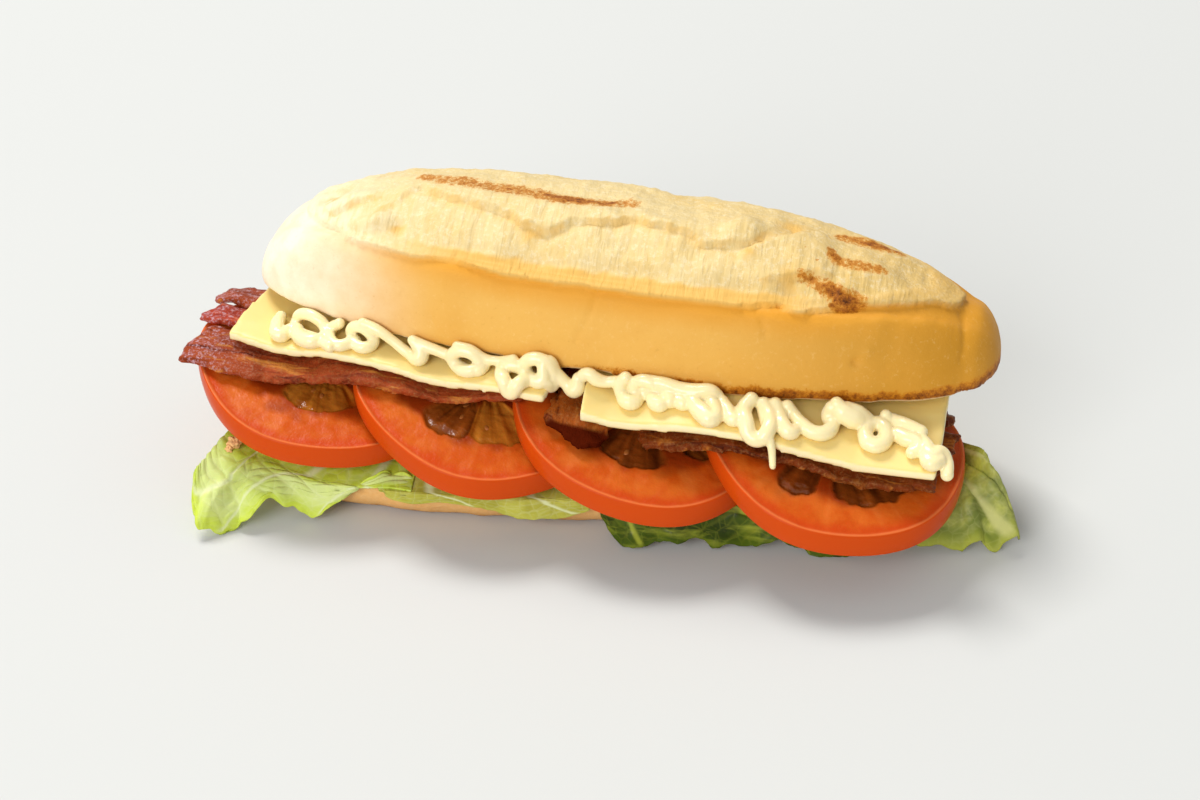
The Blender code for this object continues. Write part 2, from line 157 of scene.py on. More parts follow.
def bump(tree, height, strength, distance, under=None):
    """The direction of a rough surface, over the roughness under it."""
    inputs = {"Height": height, "Strength": strength, "Distance": distance}
    if under is not None:
        inputs["Normal"] = under
    return add(tree, "Bump", inputs).outputs[0]


def new_material(name):
    """An empty material, its node tree and its Principled shader, joined to the output."""
    made = bpy.data.materials.new(name)
    made.use_nodes = True
    tree = made.node_tree
    tree.nodes.clear()
    output = add(tree, "OutputMaterial")
    shader = add(tree, "BsdfPrincipled")
    tree.links.new(shader.outputs[0], output.inputs[0])
    return made, tree, shader


def new_object(name, shape, materials):
    """Makes a bmesh an object at the origin that rides on the sandwich."""
    data = bpy.data.meshes.new(name)
    for face in shape.faces:
        face.smooth = True
    shape.to_mesh(data)
    shape.free()
    for finish in materials:
        data.materials.append(finish)
    made = bpy.data.objects.new(name, data)
    bpy.context.scene.collection.objects.link(made)
    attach(made, "root")
    return made


def evaluated(shape, *modifiers):
    """A bmesh after modifiers, each given as its type and its settings."""
    data = bpy.data.meshes.new("being shaped")
    shape.to_mesh(data)
    shape.free()
    helper = bpy.data.objects.new("being shaped", data)
    bpy.context.scene.collection.objects.link(helper)
    for kind, settings in modifiers:
        modifier = helper.modifiers.new(kind.lower(), kind)
        for name, value in settings.items():
            setattr(modifier, name, value)
    bpy.context.view_layer.update()
    result = bmesh.new()
    result.from_object(helper, bpy.context.evaluated_depsgraph_get())
    bpy.data.objects.remove(helper)
    bpy.data.meshes.remove(data)
    return result


def solid_copy(*nodes):
    """One merged bmesh of the named CAD solids."""
    shape = bmesh.new()
    for name in nodes:
        shape.from_mesh(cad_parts[name].data)
    bmesh.ops.remove_doubles(shape, verts=shape.verts, dist=1e-6)
    return shape


def even(shape, size, passes):
    """The shape with small faces of one size, softened."""
    result = evaluated(shape, ("REMESH", {"mode": "VOXEL", "voxel_size": size}))
    for _ in range(passes):
        bmesh.ops.smooth_vert(
            result, verts=result.verts, factor=0.5, use_axis_x=True, use_axis_y=True, use_axis_z=True)
    result.normal_update()
    return result


def ripple(place, size, octaves=2, seed=0.0):
    """Noise from -1 to 1 whose lumps are about this long."""
    spot = Vector((place[0] / size, place[1] / size, place[2] / size + seed))
    return noise.fractal(spot, 1.0, 2.0, octaves) * 1.3


def beside(x, y, points, reach):
    """Distance of (x, y) from a chain of points, positive on its left, and how far along the chain, 0 to 1.

    Places further from the chain's box than reach get the reach itself.
    """
    if not min(p[0] for p in points) - reach < x < max(p[0] for p in points) + reach:
        return reach, 0.0
    best, where = reach, 0.0
    for count, ((ax, ay), (bx, by)) in enumerate(zip(points, points[1:])):
        dx, dy = bx - ax, by - ay
        t = min(1.0, max(0.0, ((x - ax) * dx + (y - ay) * dy) / (dx * dx + dy * dy)))
        gap = math.hypot(x - ax - t * dx, y - ay - t * dy)
        if gap < abs(best):
            best = math.copysign(gap, dx * (y - ay) - dy * (x - ax))
            where = (count + t) / (len(points) - 1)
    return best, where


def blob(x, y, place, size):
    """1 at a place and 0 beyond its size, with a soft change."""
    return step(size, 0.0, math.hypot(x - place[0], y - place[1]))


def seen_from(nodes):
    """The named CAD solids for casting rays."""
    shape = solid_copy(*nodes)
    tree = BVHTree.FromBMesh(shape)
    shape.free()
    return tree


def layers(shape, *names):
    return [shape.verts.layers.float.new(name) for name in names]


def crown_place(co):
    """A point in the upper roll's frame: along it, across it and up from its cut face."""
    flat = Vector((co[0] - CROWN_MIDDLE.x, co[1] - CROWN_MIDDLE.y))
    flat.rotate(Matrix.Rotation(-CROWN_YAW, 2))
    cut = CROWN_CUT - CROWN_SLOPE_BACK * (co[1] - CROWN_MIDDLE.y + CROWN_HALF_WIDTH)
    cut -= CROWN_SLOPE_RIGHT * (co[0] - LAYOUT_ORIGIN.x)
    return flat.x, flat.y, co[2] - cut


class BreadSettings(bpy.types.PropertyGroup):
    side: colour_setting("Side", "#E8B255", "Smooth side of the upper roll")
    side_right: colour_setting("Right side", "#C98C22", "Side of the upper roll at its right end")
    # Painted highlight: the side's left end is painted nearly white, where the light falls hardest on it
    side_left_highlight: colour_setting("Left side", "#FDF0D6", "Side of the upper roll at its left end")
    crown: colour_setting("Crown", "#E3CA90", "Floury crown where the crust burst")
    # The lip's colour also paints the shade in the burst's hollows and at the foot of its tears
    lip: colour_setting("Lip", "#E3B45E", "Browned edge of the burst, just above the crease")
    # The band under the lip is partly a deeper golden crust and partly painted shade under the lip's overhang
    under: colour_setting("Under the lip", "#E09A2C", "Upper part of the smooth side, below the crease")
    toast: colour_setting("Toast", "#9C560C", "Browned marks and the toasted rim")
    char: colour_setting("Char", "#4A2204", "Middle of the browned marks")
    crumb: colour_setting("Crumb", "#F1E2B8", "Cut face of the bread")
    base: colour_setting("Base crust", "#E4AC66", "Side of the lower roll")
    base_edge: colour_setting("Base edge", "#B9762F", "Lowest edge of the lower roll")
    stripe: length_setting("Stripe", 0.0013, "Width of the fine stripes across the crown")


class FillingSettings(bpy.types.PropertyGroup):
    leaf_bright: colour_setting("Bright leaf", "#D6E650", "Blade of the left leaf")
    leaf_pale: colour_setting("Pale leaf", "#CBC852", "Blade of the leaf in the middle")
    leaf_dark: colour_setting("Dark leaf", "#50640E", "Blade of the leaf at the front right")
    rib: colour_setting("Rib", "#ECF2BC", "Ribs and thin frilled edges of the leaves")
    leaf_thickness: length_setting("Leaf thickness", 0.00055, "Thickness of a leaf")
    flesh: colour_setting("Tomato flesh", "#C6500F", "Cut flesh of the tomato")
    skin: colour_setting("Tomato skin", "#CA480A", "Skin round a slice")
    gel: colour_setting("Tomato gel", "#3A1205", "Jelly in the seed chambers")
    lean: colour_setting("Lean bacon", "#A0441E", "Lean of the bacon")
    fat: colour_setting("Bacon fat", "#D08338", "Fat of the bacon")
    cheese: colour_setting("Cheese", "#F3DA8E", "Sliced cheese")
    mayonnaise: colour_setting("Mayonnaise", "#FAEBBC", "Piped mayonnaise")


class StageSettings(bpy.types.PropertyGroup):
    floor: colour_setting("Floor", "#D3D4D1", "Floor under the sandwich")
    lens: bpy.props.FloatProperty(name="Lens", description="Focal length in millimetres", default=62, min=10)
    distance: length_setting("Distance", 0.55, "From the camera to the point it looks at")
    azimuth: bpy.props.FloatProperty(
        name="Azimuth", description="Turn of the camera to the right", subtype="ANGLE", default=math.radians(9))
    elevation: bpy.props.FloatProperty(
        name="Elevation", description="Height of the camera", subtype="ANGLE", default=math.radians(32))


# Height of the crease over the cut face, along the front of the upper roll
CREASE = ((-0.100, 0.0215), (-0.070, 0.0223), (-0.052, 0.0227), (-0.038, 0.0232), (-0.024, 0.0227),
          (-0.005, 0.0226), (0.011, 0.0226), (0.029, 0.0229), (0.041, 0.0235), (0.051, 0.0230),
          (0.066, 0.0237), (0.075, 0.0235), (0.084, 0.0224), (0.089, 0.0210), (0.092, 0.0201), (0.100, 0.0200))

# Browned marks of the oven grid on the crown: chain of points in the roll's frame, half-width, strength
MARKS = (
    (((-0.054, -0.0008), (-0.047, -0.0028), (-0.035, -0.0038), (-0.027, -0.0039), (-0.016, -0.0056),
      (-0.005, -0.0047), (0.0033, -0.0024)), 0.0046, 0.64),
    (((-0.020, -0.0050), (-0.010, -0.0052), (-0.002, -0.0040)), 0.0026, 0.92),
    (((0.0575, 0.0030), (0.0628, 0.0034), (0.0668, 0.0037), (0.0725, 0.0046)), 0.0036, 0.70),
    (((0.0640, 0.0034), (0.0690, 0.0038)), 0.0026, 0.95),
    (((0.0560, -0.0068), (0.0576, -0.0090), (0.0625, -0.0088), (0.0695, -0.0071)), 0.0030, 0.66),
    (((0.0560, -0.0075), (0.0585, -0.0092)), 0.0022, 0.85),
    (((0.0500, -0.0170), (0.0563, -0.0180), (0.0597, -0.0185), (0.0628, -0.0182), (0.0660, -0.0178)), 0.0030, 0.66),
    (((0.0570, -0.0178), (0.0600, -0.0190), (0.0635, -0.0186)), 0.0025, 1.05),
    (((0.0580, -0.0213), (0.0614, -0.0207), (0.0650, -0.0197)), 0.0013, 0.85),
    (((0.0525, -0.0124), (0.0530, -0.0124)), 0.0008, 0.75),
    (((0.0495, -0.0094), (0.0500, -0.0094)), 0.0008, 0.65),
)

# Torn edges of the burst skin: chain, how far the skin behind it stands up, how far back that reaches
TEARS = (
    (((-0.0646, -0.0145), (-0.0579, -0.0110), (-0.0529, -0.0060), (-0.0442, -0.0108), (-0.0356, -0.0122),
      (-0.0272, -0.0136), (-0.0235, -0.0163), (-0.0172, -0.0171), (-0.0139, -0.0154), (-0.0090, -0.0138),
      (0.0016, -0.0116), (0.0066, -0.0105), (0.0196, -0.0122), (0.0248, -0.0146), (0.0351, -0.0127),
      (0.0382, -0.0095), (0.0405, -0.0030)), 0.0014, 0.006),
    (((0.0560, 0.0010), (0.0500, -0.0016), (0.0425, -0.0075), (0.0371, -0.0122), (0.0323, -0.0159)), 0.0015, 0.006),
    (((0.0400, -0.0210), (0.0473, -0.0184), (0.0532, -0.0157), (0.0580, -0.0150)), 0.0011, 0.005),
    (((-0.0850, -0.0080), (-0.0760, -0.0120), (-0.0700, -0.0085), (-0.0640, -0.0100)), 0.0010, 0.005),
)
TEAR_REACH = 0.012
# Lumps and hollows of the burst: place, size, height
LUMPS = (((-0.0625, -0.0165), 0.0045, 0.0022), ((-0.0560, -0.0185), 0.0035, -0.0010),
         ((0.0330, -0.0060), 0.0080, 0.0019), ((0.0450, -0.0008), 0.0060, -0.0013),
         ((-0.0740, -0.0060), 0.0070, 0.0010), ((-0.0680, -0.0170), 0.0050, 0.0009),
         ((0.0855, -0.0085), 0.0035, 0.0014), ((0.0480, -0.0195), 0.0040, -0.0006))
# Golden hollows of the burst, painted shade in its pits where the thin skin also browned a little: place, size
GOLDEN_SHADED_HOLLOWS = (((0.0455, 0.0000), 0.0065), ((-0.0565, -0.0190), 0.0038), ((0.0475, -0.0190), 0.0050),
          ((0.0360, -0.0150), 0.0030), ((-0.0200, -0.0185), 0.0045), ((-0.0790, -0.0050), 0.0050))
# Hair-fine folds in the smooth side, as distance along the roll and height
FOLDS = (((-0.0442, 0.0101), (-0.0436, 0.0073), (-0.0434, 0.0051)),
         ((-0.0002, 0.0215), (-0.0015, 0.0162), (-0.0033, 0.0119), (-0.0052, 0.0080)),
         ((0.0419, 0.0209), (0.0428, 0.0188), (0.0433, 0.0171)),
         ((0.0905, 0.0200), (0.0916, 0.0186), (0.0922, 0.0167), (0.0925, 0.0143), (0.0922, 0.0110)))


def along_chain(x, points):
    """Height of a line of (x, height) points at x."""
    for (xa, za), (xb, zb) in zip(points, points[1:]):
        if x <= xb:
            return za + (zb - za) * max(0.0, (x - xa) / (xb - xa))
    return points[-1][1]


def crust_material(look):
    # Baked wheat crust: matt and dry, smooth and golden on the side, floury and wrinkled where it burst
    made, tree, shader = new_material("baked_wheat_crust")
    place = add(tree, "TexCoord").outputs["Object"]
    cloud = clouds(tree, place, 0.012, 4, 0.6)
    grain = clouds(tree, place, 0.0010, 3, 0.7)
    speck = clouds(tree, place, 0.0016, 5, 0.8)
    # Fine wrinkles run across the crown about 1.3 mm apart, so the noise is stretched across the roll
    stretched = add(tree, "Mapping", {"Vector": place, "Rotation": (0, 0, 0.05), "Scale": (1, 0.13, 0.25)})
    stripes = clouds(tree, stretched.outputs[0], look.stripe, 3, distortion=0.3)
    # The side is a painted highlight, nearly white, at its left end and turns to the crust's own gold towards the right
    side = coats(
        tree, look.side_left_highlight,
        (mask(tree, "rightward"), look.side),
        (mask(tree, "far_right"), look.side_right),
        (mapped(tree, cloud, 0.40, 0.72, end=0.35), linear("#DD9E3C")),
        (mapped(tree, speck, 0.56, 0.72, end=0.28), linear("#F7D48C")),
        (mapped(tree, speck, 0.40, 0.28, end=0.34), linear("#C78A34")),
        # Under the crease: deeper golden crust with painted shade under the lip's overhang
        (mask(tree, "under"), look.under))
    groove = times(tree, mapped(tree, stripes, 0.52, 0.36, end=0.34), mask(tree, "striped"))
    # The crown's pale base at its left end is a painted highlight as well
    crown = coats(
        tree, linear("#F6EAC8"),
        (mask(tree, "rightward"), look.crown),
        (mask(tree, "far_right"), linear("#DDB970")),
        (groove, linear("#D6B468")),
        (mapped(tree, cloud, 0.50, 0.75, end=0.55), linear("#DDB766")),
        (mapped(tree, speck, 0.50, 0.68, end=0.45), linear("#F7EDCE")),
        # Golden: the browned lip, and painted shade in the hollows and at the foot of the tears
        (mask(tree, "golden"), look.lip))
    plain = coats(tree, side, (mask(tree, "burst"), crown))
    # Browning: a speckle of about 1.6 mm breaks the marks up, so their edges are ragged and dotted
    spread = mapped(tree, speck, 0.30, 0.70, -0.42, 0.42, clamp=False)
    heat = add(tree, "Math", {0: mask(tree, "brown"), 1: spread}, operation="ADD").outputs[0]
    browned = coats(
        tree, plain,
        (mapped(tree, heat, 0.34, 0.62, end=0.9), linear("#CA8018")),
        (mapped(tree, heat, 0.58, 0.98), look.toast),
        (mapped(tree, heat, 0.98, 1.30), look.char))
    # The speckle alone must not brown the crust away from the marks
    marked = mapped(tree, mask(tree, "brown"), 0.05, 0.25)
    relief = add(tree, "Mix", {0: mask(tree, "striped"), 2: grain, 3: stripes}).outputs[0]
    fine = bump(tree, relief, mapped(tree, mask(tree, "burst"), start=0.14, end=0.65), 0.0007)
    fill(tree, shader, {
        "Base Color": coats(tree, plain, (marked, browned), (mask(tree, "cut"), look.crumb)),
        "Normal": bump(tree, speck, 0.22, 0.0005, fine), "Roughness": 0.58, "Specular IOR Level": 0.22})
    return made


def torn_edge(x, y, chain, reach):
    """Distance of a place on the crown from a torn edge, which wanders a little, and how far along it is."""
    return beside(x, y + 0.0009 * ripple((x, y, 0), 0.0045, 2, 3.0), chain, reach)


def crown_relief(x, y, over):
    """How far the burst crown stands out at a place in the roll's frame; over is the height over the crease."""
    push = 0.0007 * ripple((x * 0.7, y, 0), 0.009, 4) + 0.0005 * step(-0.045, -0.07, x) * ripple((x, y, 0), 0.006, 2)
    push += 0.00016 * ripple((x, y * 0.15, 0), 0.0017, 2, 9.0)
    for chain, rise, reach in TEARS:
        gap, where = torn_edge(x, y, chain, TEAR_REACH)
        if gap >= TEAR_REACH:
            continue
        ends = min(1.0, 6 * where, 6 * (1 - where)) if 0 < where < 1 else 0.0
        behind = rise * math.exp(-max(0.0, gap) / reach)
        front = -0.5 * rise * math.exp(min(0.0, gap) / (0.5 * reach))
        push += ends * (front + (behind - front) * step(-0.0006, 0.0006, gap))
    for place, size, height in LUMPS:
        push += height * blob(x, y, place, size)
    push *= step(0.0, 0.003, over)
    band = 0.0022 + 0.0006 * ripple((x, 0, 0), 0.012, 2, 5.0)
    push += 0.0006 * step(band + 0.0006, band - 0.0006, over)
    push -= 0.0010 * step(0.0845, 0.0905, x) * step(0.0, 0.002, over)
    return push


def side_relief(x, y, h, over):
    """How far the smooth side of the upper roll stands out."""
    push = 0.00035 * ripple((x, y, h), 0.022, 2, 7.0) - 0.0006 * step(-0.0028, 0.0, over)
    push += 0.0011 * step(0.0915, 0.096, x)
    if y < 0:
        push -= 0.0009 * blob(x, h, (0.0664, 0.0117), 0.0020)
        push += 0.0004 * blob(x, h, (0.0691, 0.0144), 0.0022)
        for chain in FOLDS:
            gap = abs(beside(x, h, chain, 0.004)[0])
            push -= 0.00035 * step(0.0010, 0.0, gap)
    return push


def gilding(co, x, y, over):
    """How golden the burst is: browned on its lip over the crease, with painted shade in its hollows and at the foot of
    its torn edges.
    """
    lip = step(0.0030, 0.0018, over + 0.0006 * ripple(co, 0.004, 2)) * step(-0.065, -0.035, x)
    lip *= 0.55 if y > 0 else 1 - 0.6 * step(0.045, 0.055, x)
    hollows = max(blob(x, y, *spot) for spot in GOLDEN_SHADED_HOLLOWS) * step(-0.3, 0.3, ripple(co, 0.004, 2, 6.0))
    # Painted shade: the foot in front of each torn edge is tinted golden
    if over > 0.002:
        for chain, _, _ in TEARS:
            gap, where = torn_edge(x, y, chain, 0.004)
            if -0.003 < gap < 0.0006 and 0 < where < 1:
                shown = step(-0.5, 0.4, ripple(co, 0.005, 2, 8.0))
                hollows = max(hollows, 0.6 * shown * step(-0.003, -0.0004, gap))
    return max(lip, 0.9 * hollows)


def oven_mark(x, y):
    """How brown the oven grid made a place on the crown; each mark is narrower towards its ends."""
    mark = 0.0
    for chain, half, strength in MARKS:
        gap, where = beside(x, y, chain, 0.008)
        half *= 0.45 + 0.55 * math.sin(math.pi * (0.12 + 0.76 * where))
        mark = max(mark, strength * step(1.25 * half, 0.35 * half, abs(gap)))
    return mark


class SANDWICH_OT_upper_roll(bpy.types.Operator):
    """Makes the upper roll with its burst crown, browned marks and smooth side"""

    bl_idname = "sandwich.upper_roll"
    bl_label = "Upper roll"

    def execute(self, context):
        shape = even(solid_copy("bun_top"), 0.0009, 5)
        burst, golden, brown, under, right, far, cut, striped = layers(
            shape, "burst", "golden", "brown", "under", "rightward", "far_right", "cut", "striped")
        moves = {}
        for vert in shape.verts:
            co = vert.co
            x, y, h = crown_place(co)
            over = h - along_chain(x, CREASE) + 0.0004 * ripple(co, 0.010, 2, 4.0)
            vert[burst] = step(-0.0003, 0.0004, over)
            vert[cut] = step(-0.45, -0.80, vert.normal.z)
            vert[striped] = vert[burst] * (0.25 + 0.75 * step(-0.004, -0.011, y + 0.002 * ripple(co, 0.01, 2)))
            # Rightward runs from the painted highlight at the left end to the crust's own colour
            vert[right] = step(-0.100, -0.052, x + 0.4 * y)
            vert[far] = step(0.005, 0.100, x)
            # Under: the band below the crease, partly deeper golden crust and partly painted shade under the lip
            vert[under] = (step(-0.0085, -0.0004, over) * step(-0.078, -0.030, x)
                           * (1 - 0.6 * step(0.045, 0.080, x)))
            # Golden: browned lip, with painted shade in the hollows and at the foot of the tears
            vert[golden] = gilding(co, x, y, over)
            mark = oven_mark(x, y) if vert.normal.z > 0.2 and y < 0.015 else 0.0
            # The lowest edge turns up at the right end, and it is toasted from the middle on
            low = h - 0.005 * max(0.0, x / CROWN_HALF_LENGTH) ** 11.7
            rim = step(0.0052, 0.0018, low + 0.0006 * ripple(co, 0.003, 2)) * step(-0.010, 0.02, x + 0.3 * abs(y))
            vert[brown] = max(mark, 0.96 * rim * (1 - 0.85 * vert[cut]))
            push = crown_relief(x, y, over) if over > 0 else side_relief(x, y, h, over) * (1 - vert[cut])
            # Its front edge hangs a little lower from the middle on
            sag = 0.0020 * step(-0.03, 0.0, x) - 0.0007 * step(0.05, 0.08, x)
            sag *= step(-0.010, -0.026, y + 0.3 * max(0.0, x))
            moves[vert] = vert.normal * push - Vector((0, 0, sag * step(0.012, 0.0, low)))
        for vert, move in moves.items():
            vert.co += move
        made = new_object("upper_roll", shape, [crust_material(context.scene.sandwich_bread)])
        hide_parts("bun_top")
        return {"FINISHED"}


def base_material(look):
    # Baked wheat crust round the lower roll, with its pale open crumb on the cut face
    made, tree, shader = new_material("lower_crust_and_crumb")
    place = add(tree, "TexCoord").outputs["Object"]
    cut = mask(tree, "cut")
    grain = clouds(tree, place, 0.0014, 4, 0.7)
    pores = add(tree, "TexVoronoi", {"Vector": place, "Scale": 1 / 0.0022, "Randomness": 1.0})
    uneven = times(tree, mask(tree, "low"), clouds(tree, place, 0.009, 5, 0.65))
    colour = coats(
        tree, look.base,
        (mapped(tree, uneven, 0.12, 0.55), look.base_edge),
        (mapped(tree, grain, 0.4, 0.7, end=0.35), linear("#E9C48C")),
        (cut, look.crumb))
    relief = add(tree, "Mix", {0: cut, 2: grain, 3: pores.outputs[0]}).outputs[0]
    fill(tree, shader, {
        "Base Color": colour, "Normal": bump(tree, relief, 0.4, 0.0006),
        "Roughness": 0.7, "Specular IOR Level": 0.3})
    return made


class SANDWICH_OT_lower_roll(bpy.types.Operator):
    """Makes the lower roll"""

    bl_idname = "sandwich.lower_roll"
    bl_label = "Lower roll"

    def execute(self, context):
        shape = even(solid_copy("bun_bottom"), 0.0013, 4)
        cut, low = layers(shape, "cut", "low")
        for vert in shape.verts:
            vert[cut] = step(0.6, 0.9, vert.normal.z) * step(0.010, 0.0125, vert.co.z)
            vert[low] = step(0.006, 0.0005, vert.co.z)
        moves = {vert: vert.normal * 0.0004 * ripple(vert.co, 0.012, 3) for vert in shape.verts}
        for vert, move in moves.items():
            vert.co += move
            vert.co.z = max(0.0, vert.co.z)
        made = new_object("lower_roll", shape, [base_material(context.scene.sandwich_bread)])
        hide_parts("bun_bottom")
        return {"FINISHED"}


def leaf_material(name, blade, shade, rib, fibres=0.0):
    # Lettuce leaf: thin, watery and slightly waxy, so light comes through it and glints sit on its blisters
    made, tree, shader = new_material(name)
    place = add(tree, "TexCoord").outputs["Object"]
    net = add(tree, "TexVoronoi", {"Vector": place, "Scale": 1 / 0.0034, "Randomness": 1.0},
              feature="DISTANCE_TO_EDGE").outputs[0]
    # Fibres run along a dark outer leaf
    stretched = add(tree, "Mapping", {"Vector": place, "Scale": (0.10, 1, 1)})
    strings = clouds(tree, stretched.outputs[0], 0.0024, 3)
    colour = coats(
        tree, blade,
        (mapped(tree, clouds(tree, place, 0.011, 4, 0.6), 0.38, 0.62), shade),
        (mask(tree, "lower"), shade),
        (mapped(tree, net, 0.08, 0.0, end=0.14), rib),
        (mapped(tree, strings, 0.50, 0.68, end=fibres), rib),
        (mask(tree, "heart"), rib),
        (mapped(tree, mask(tree, "margin"), end=0.6), blade),
        (mask(tree, "vein"), rib))
    normal = bump(tree, net, 0.35, 0.0009)
    fill(tree, shader, {"Base Color": colour, "Normal": normal, "Roughness": 0.34, "Specular IOR Level": 0.20})
    through = add(tree, "BsdfTranslucent", {"Color": colour, "Normal": normal})
    mixed = add(tree, "MixShader", {0: 0.18, 1: shader.outputs[0], 2: through.outputs[0]})
    tree.links.new(mixed.outputs[0], tree.nodes["Material Output"].inputs[0])
    return made


# Height of the lower roll's edge, the length of a leaf and the share of it that lies under the tomato
EDGE_HEIGHT = 0.0157
LEAF_LENGTH = 0.050
BEND = 0.4


def droop(y):
    """How far the fillings hang down in front of and behind the sandwich's crest."""
    return 4.5 * max(0.0, -0.005 - y) ** 2 + 1.5 * max(0.0, y + 0.005) ** 2


def roll_edge(x, side):
    """Y of the lower roll's widest line at this x, in the CAD's layout."""
    along_it = x - BASE_MIDDLE[0]
    half = BASE_HALF_WIDTH * (1 - min(1, abs(along_it / BASE_HALF_LENGTH)) ** BASE_SQUARENESS) ** (1 / BASE_SQUARENESS)
    return BASE_MIDDLE[1] + BASE_SLANT * along_it + side * (half + 0.001)


def over_roll(tips, side=-1):
    """The line where a leaf bends over the roll's edge, one point for each tip."""
    return [(x, roll_edge(x, side), EDGE_HEIGHT) for x, _, _ in tips]


# Guides of each leaf in the CAD's layout: inner line on the roll, bend, free edge, then its wave
# (height, length, phase), the number of faces along and across, and its ribs as (start, end) shares
LEFT_TIPS = ((-0.110, -0.045, 0.004), (-0.104, -0.052, 0.001), (-0.095, -0.046, 0.001), (-0.084, -0.039, 0.003),
             (-0.073, -0.038, 0.007), (-0.062, -0.0355, 0.011), (-0.051, -0.0305, 0.0135))
MIDDLE_TIPS = ((-0.060, -0.0365, 0.010), (-0.041, -0.036, 0.008), (-0.022, -0.035, 0.007), (-0.004, -0.033, 0.006))
FRONT_TIPS = ((-0.003, -0.031, 0.004), (0.008, -0.036, 0.001), (0.020, -0.034, 0.001), (0.033, -0.031, 0.002),
              (0.048, -0.030, 0.001), (0.060, -0.029, 0.001), (0.071, -0.027, 0.001))
FAR_TIPS = ((0.077, -0.025, 0.001), (0.093, -0.022, 0.001), (0.107, -0.017, 0.001), (0.100, -0.011, 0.009))
BACK_TIPS = ((-0.085, 0.043, 0.009), (-0.030, 0.047, 0.006), (0.020, 0.050, 0.008), (0.064, 0.051, 0.010))
LEAVES = {
    "lettuce_left": (((-0.094, 0.0), (-0.053, 0.0)),
                     ((-0.103, -0.024, 0.019), (-0.097, -0.030, 0.017), *over_roll(LEFT_TIPS)[2:]),
                     LEFT_TIPS, (0.0030, 0.030, 0.4), (150, 110), ((0.80, 0.22), (0.96, 0.62), (0.45, 0.02))),
    "lettuce_middle": (((-0.058, 0.0), (-0.006, 0.0)), over_roll(MIDDLE_TIPS), MIDDLE_TIPS,
                       (0.0012, 0.034, 1.0), (100, 60), ((0.10, 0.45), (0.55, 0.95))),
    "lettuce_front_right": (((-0.003, 0.0), (0.071, 0.0)), over_roll(FRONT_TIPS), FRONT_TIPS,
                            (0.0020, 0.026, 2.0), (170, 76), ((0.02, 0.20), (0.20, 0.75), (0.45, 1.10))),
    "lettuce_far_right": (((0.073, 0.004), (0.078, 0.012)),
                          ((0.075, -0.016, EDGE_HEIGHT), (0.087, -0.010, 0.0160), (0.094, -0.009, 0.0190),
                           (0.0945, -0.006, 0.0240)),
                          FAR_TIPS, (0.0030, 0.022, 0.0), (90, 76), ((0.30, 0.62), (0.80, 0.95))),
    "lettuce_back": (((-0.085, 0.006), (0.064, 0.012)), over_roll(BACK_TIPS, 1), BACK_TIPS,
                     (0.0030, 0.034, 0.8), (220, 56), ((0.15, 0.10), (0.45, 0.50), (0.80, 0.90))),
}


# Distance between the side veins that leave a rib
VEIN_GAP = 0.0062


def along(points, u):
    """The point at u, from 0 to 1, of a line through evenly counted points."""
    place = min(u, 0.99999) * (len(points) - 1)
    count = int(place)
    return Vector(points[count]).lerp(Vector(points[count + 1]), place - count)


def veins(u, v, span, ribs):
    """How near (u, v) is to a vein of the leaf, from 0 to 1, and how far from one, in metres."""
    best, apart = 0.0, 1.0
    for start, end in ribs:
        off = (u - start - (end - start) * v) * span
        best = max(best, 0.8 * step(0.0026 - 0.0017 * v, 0.0003, abs(off)))
        run = v * LEAF_LENGTH - 0.75 * abs(off) + 0.0035 * (off > 0)
        beat = abs((run / VEIN_GAP) % 1 - 0.5) * VEIN_GAP
        width = 0.0008 * step(0.024, 0.0, abs(off))
        best = max(best, 0.16 * step(width + 0.0003, 0.4 * width, beat) * step(0.026, 0.018, abs(off)))
        apart = min(apart, abs(off), max(beat, 0.0001) if abs(off) < 0.022 else 1.0)
    return best, min(apart, 0.003)


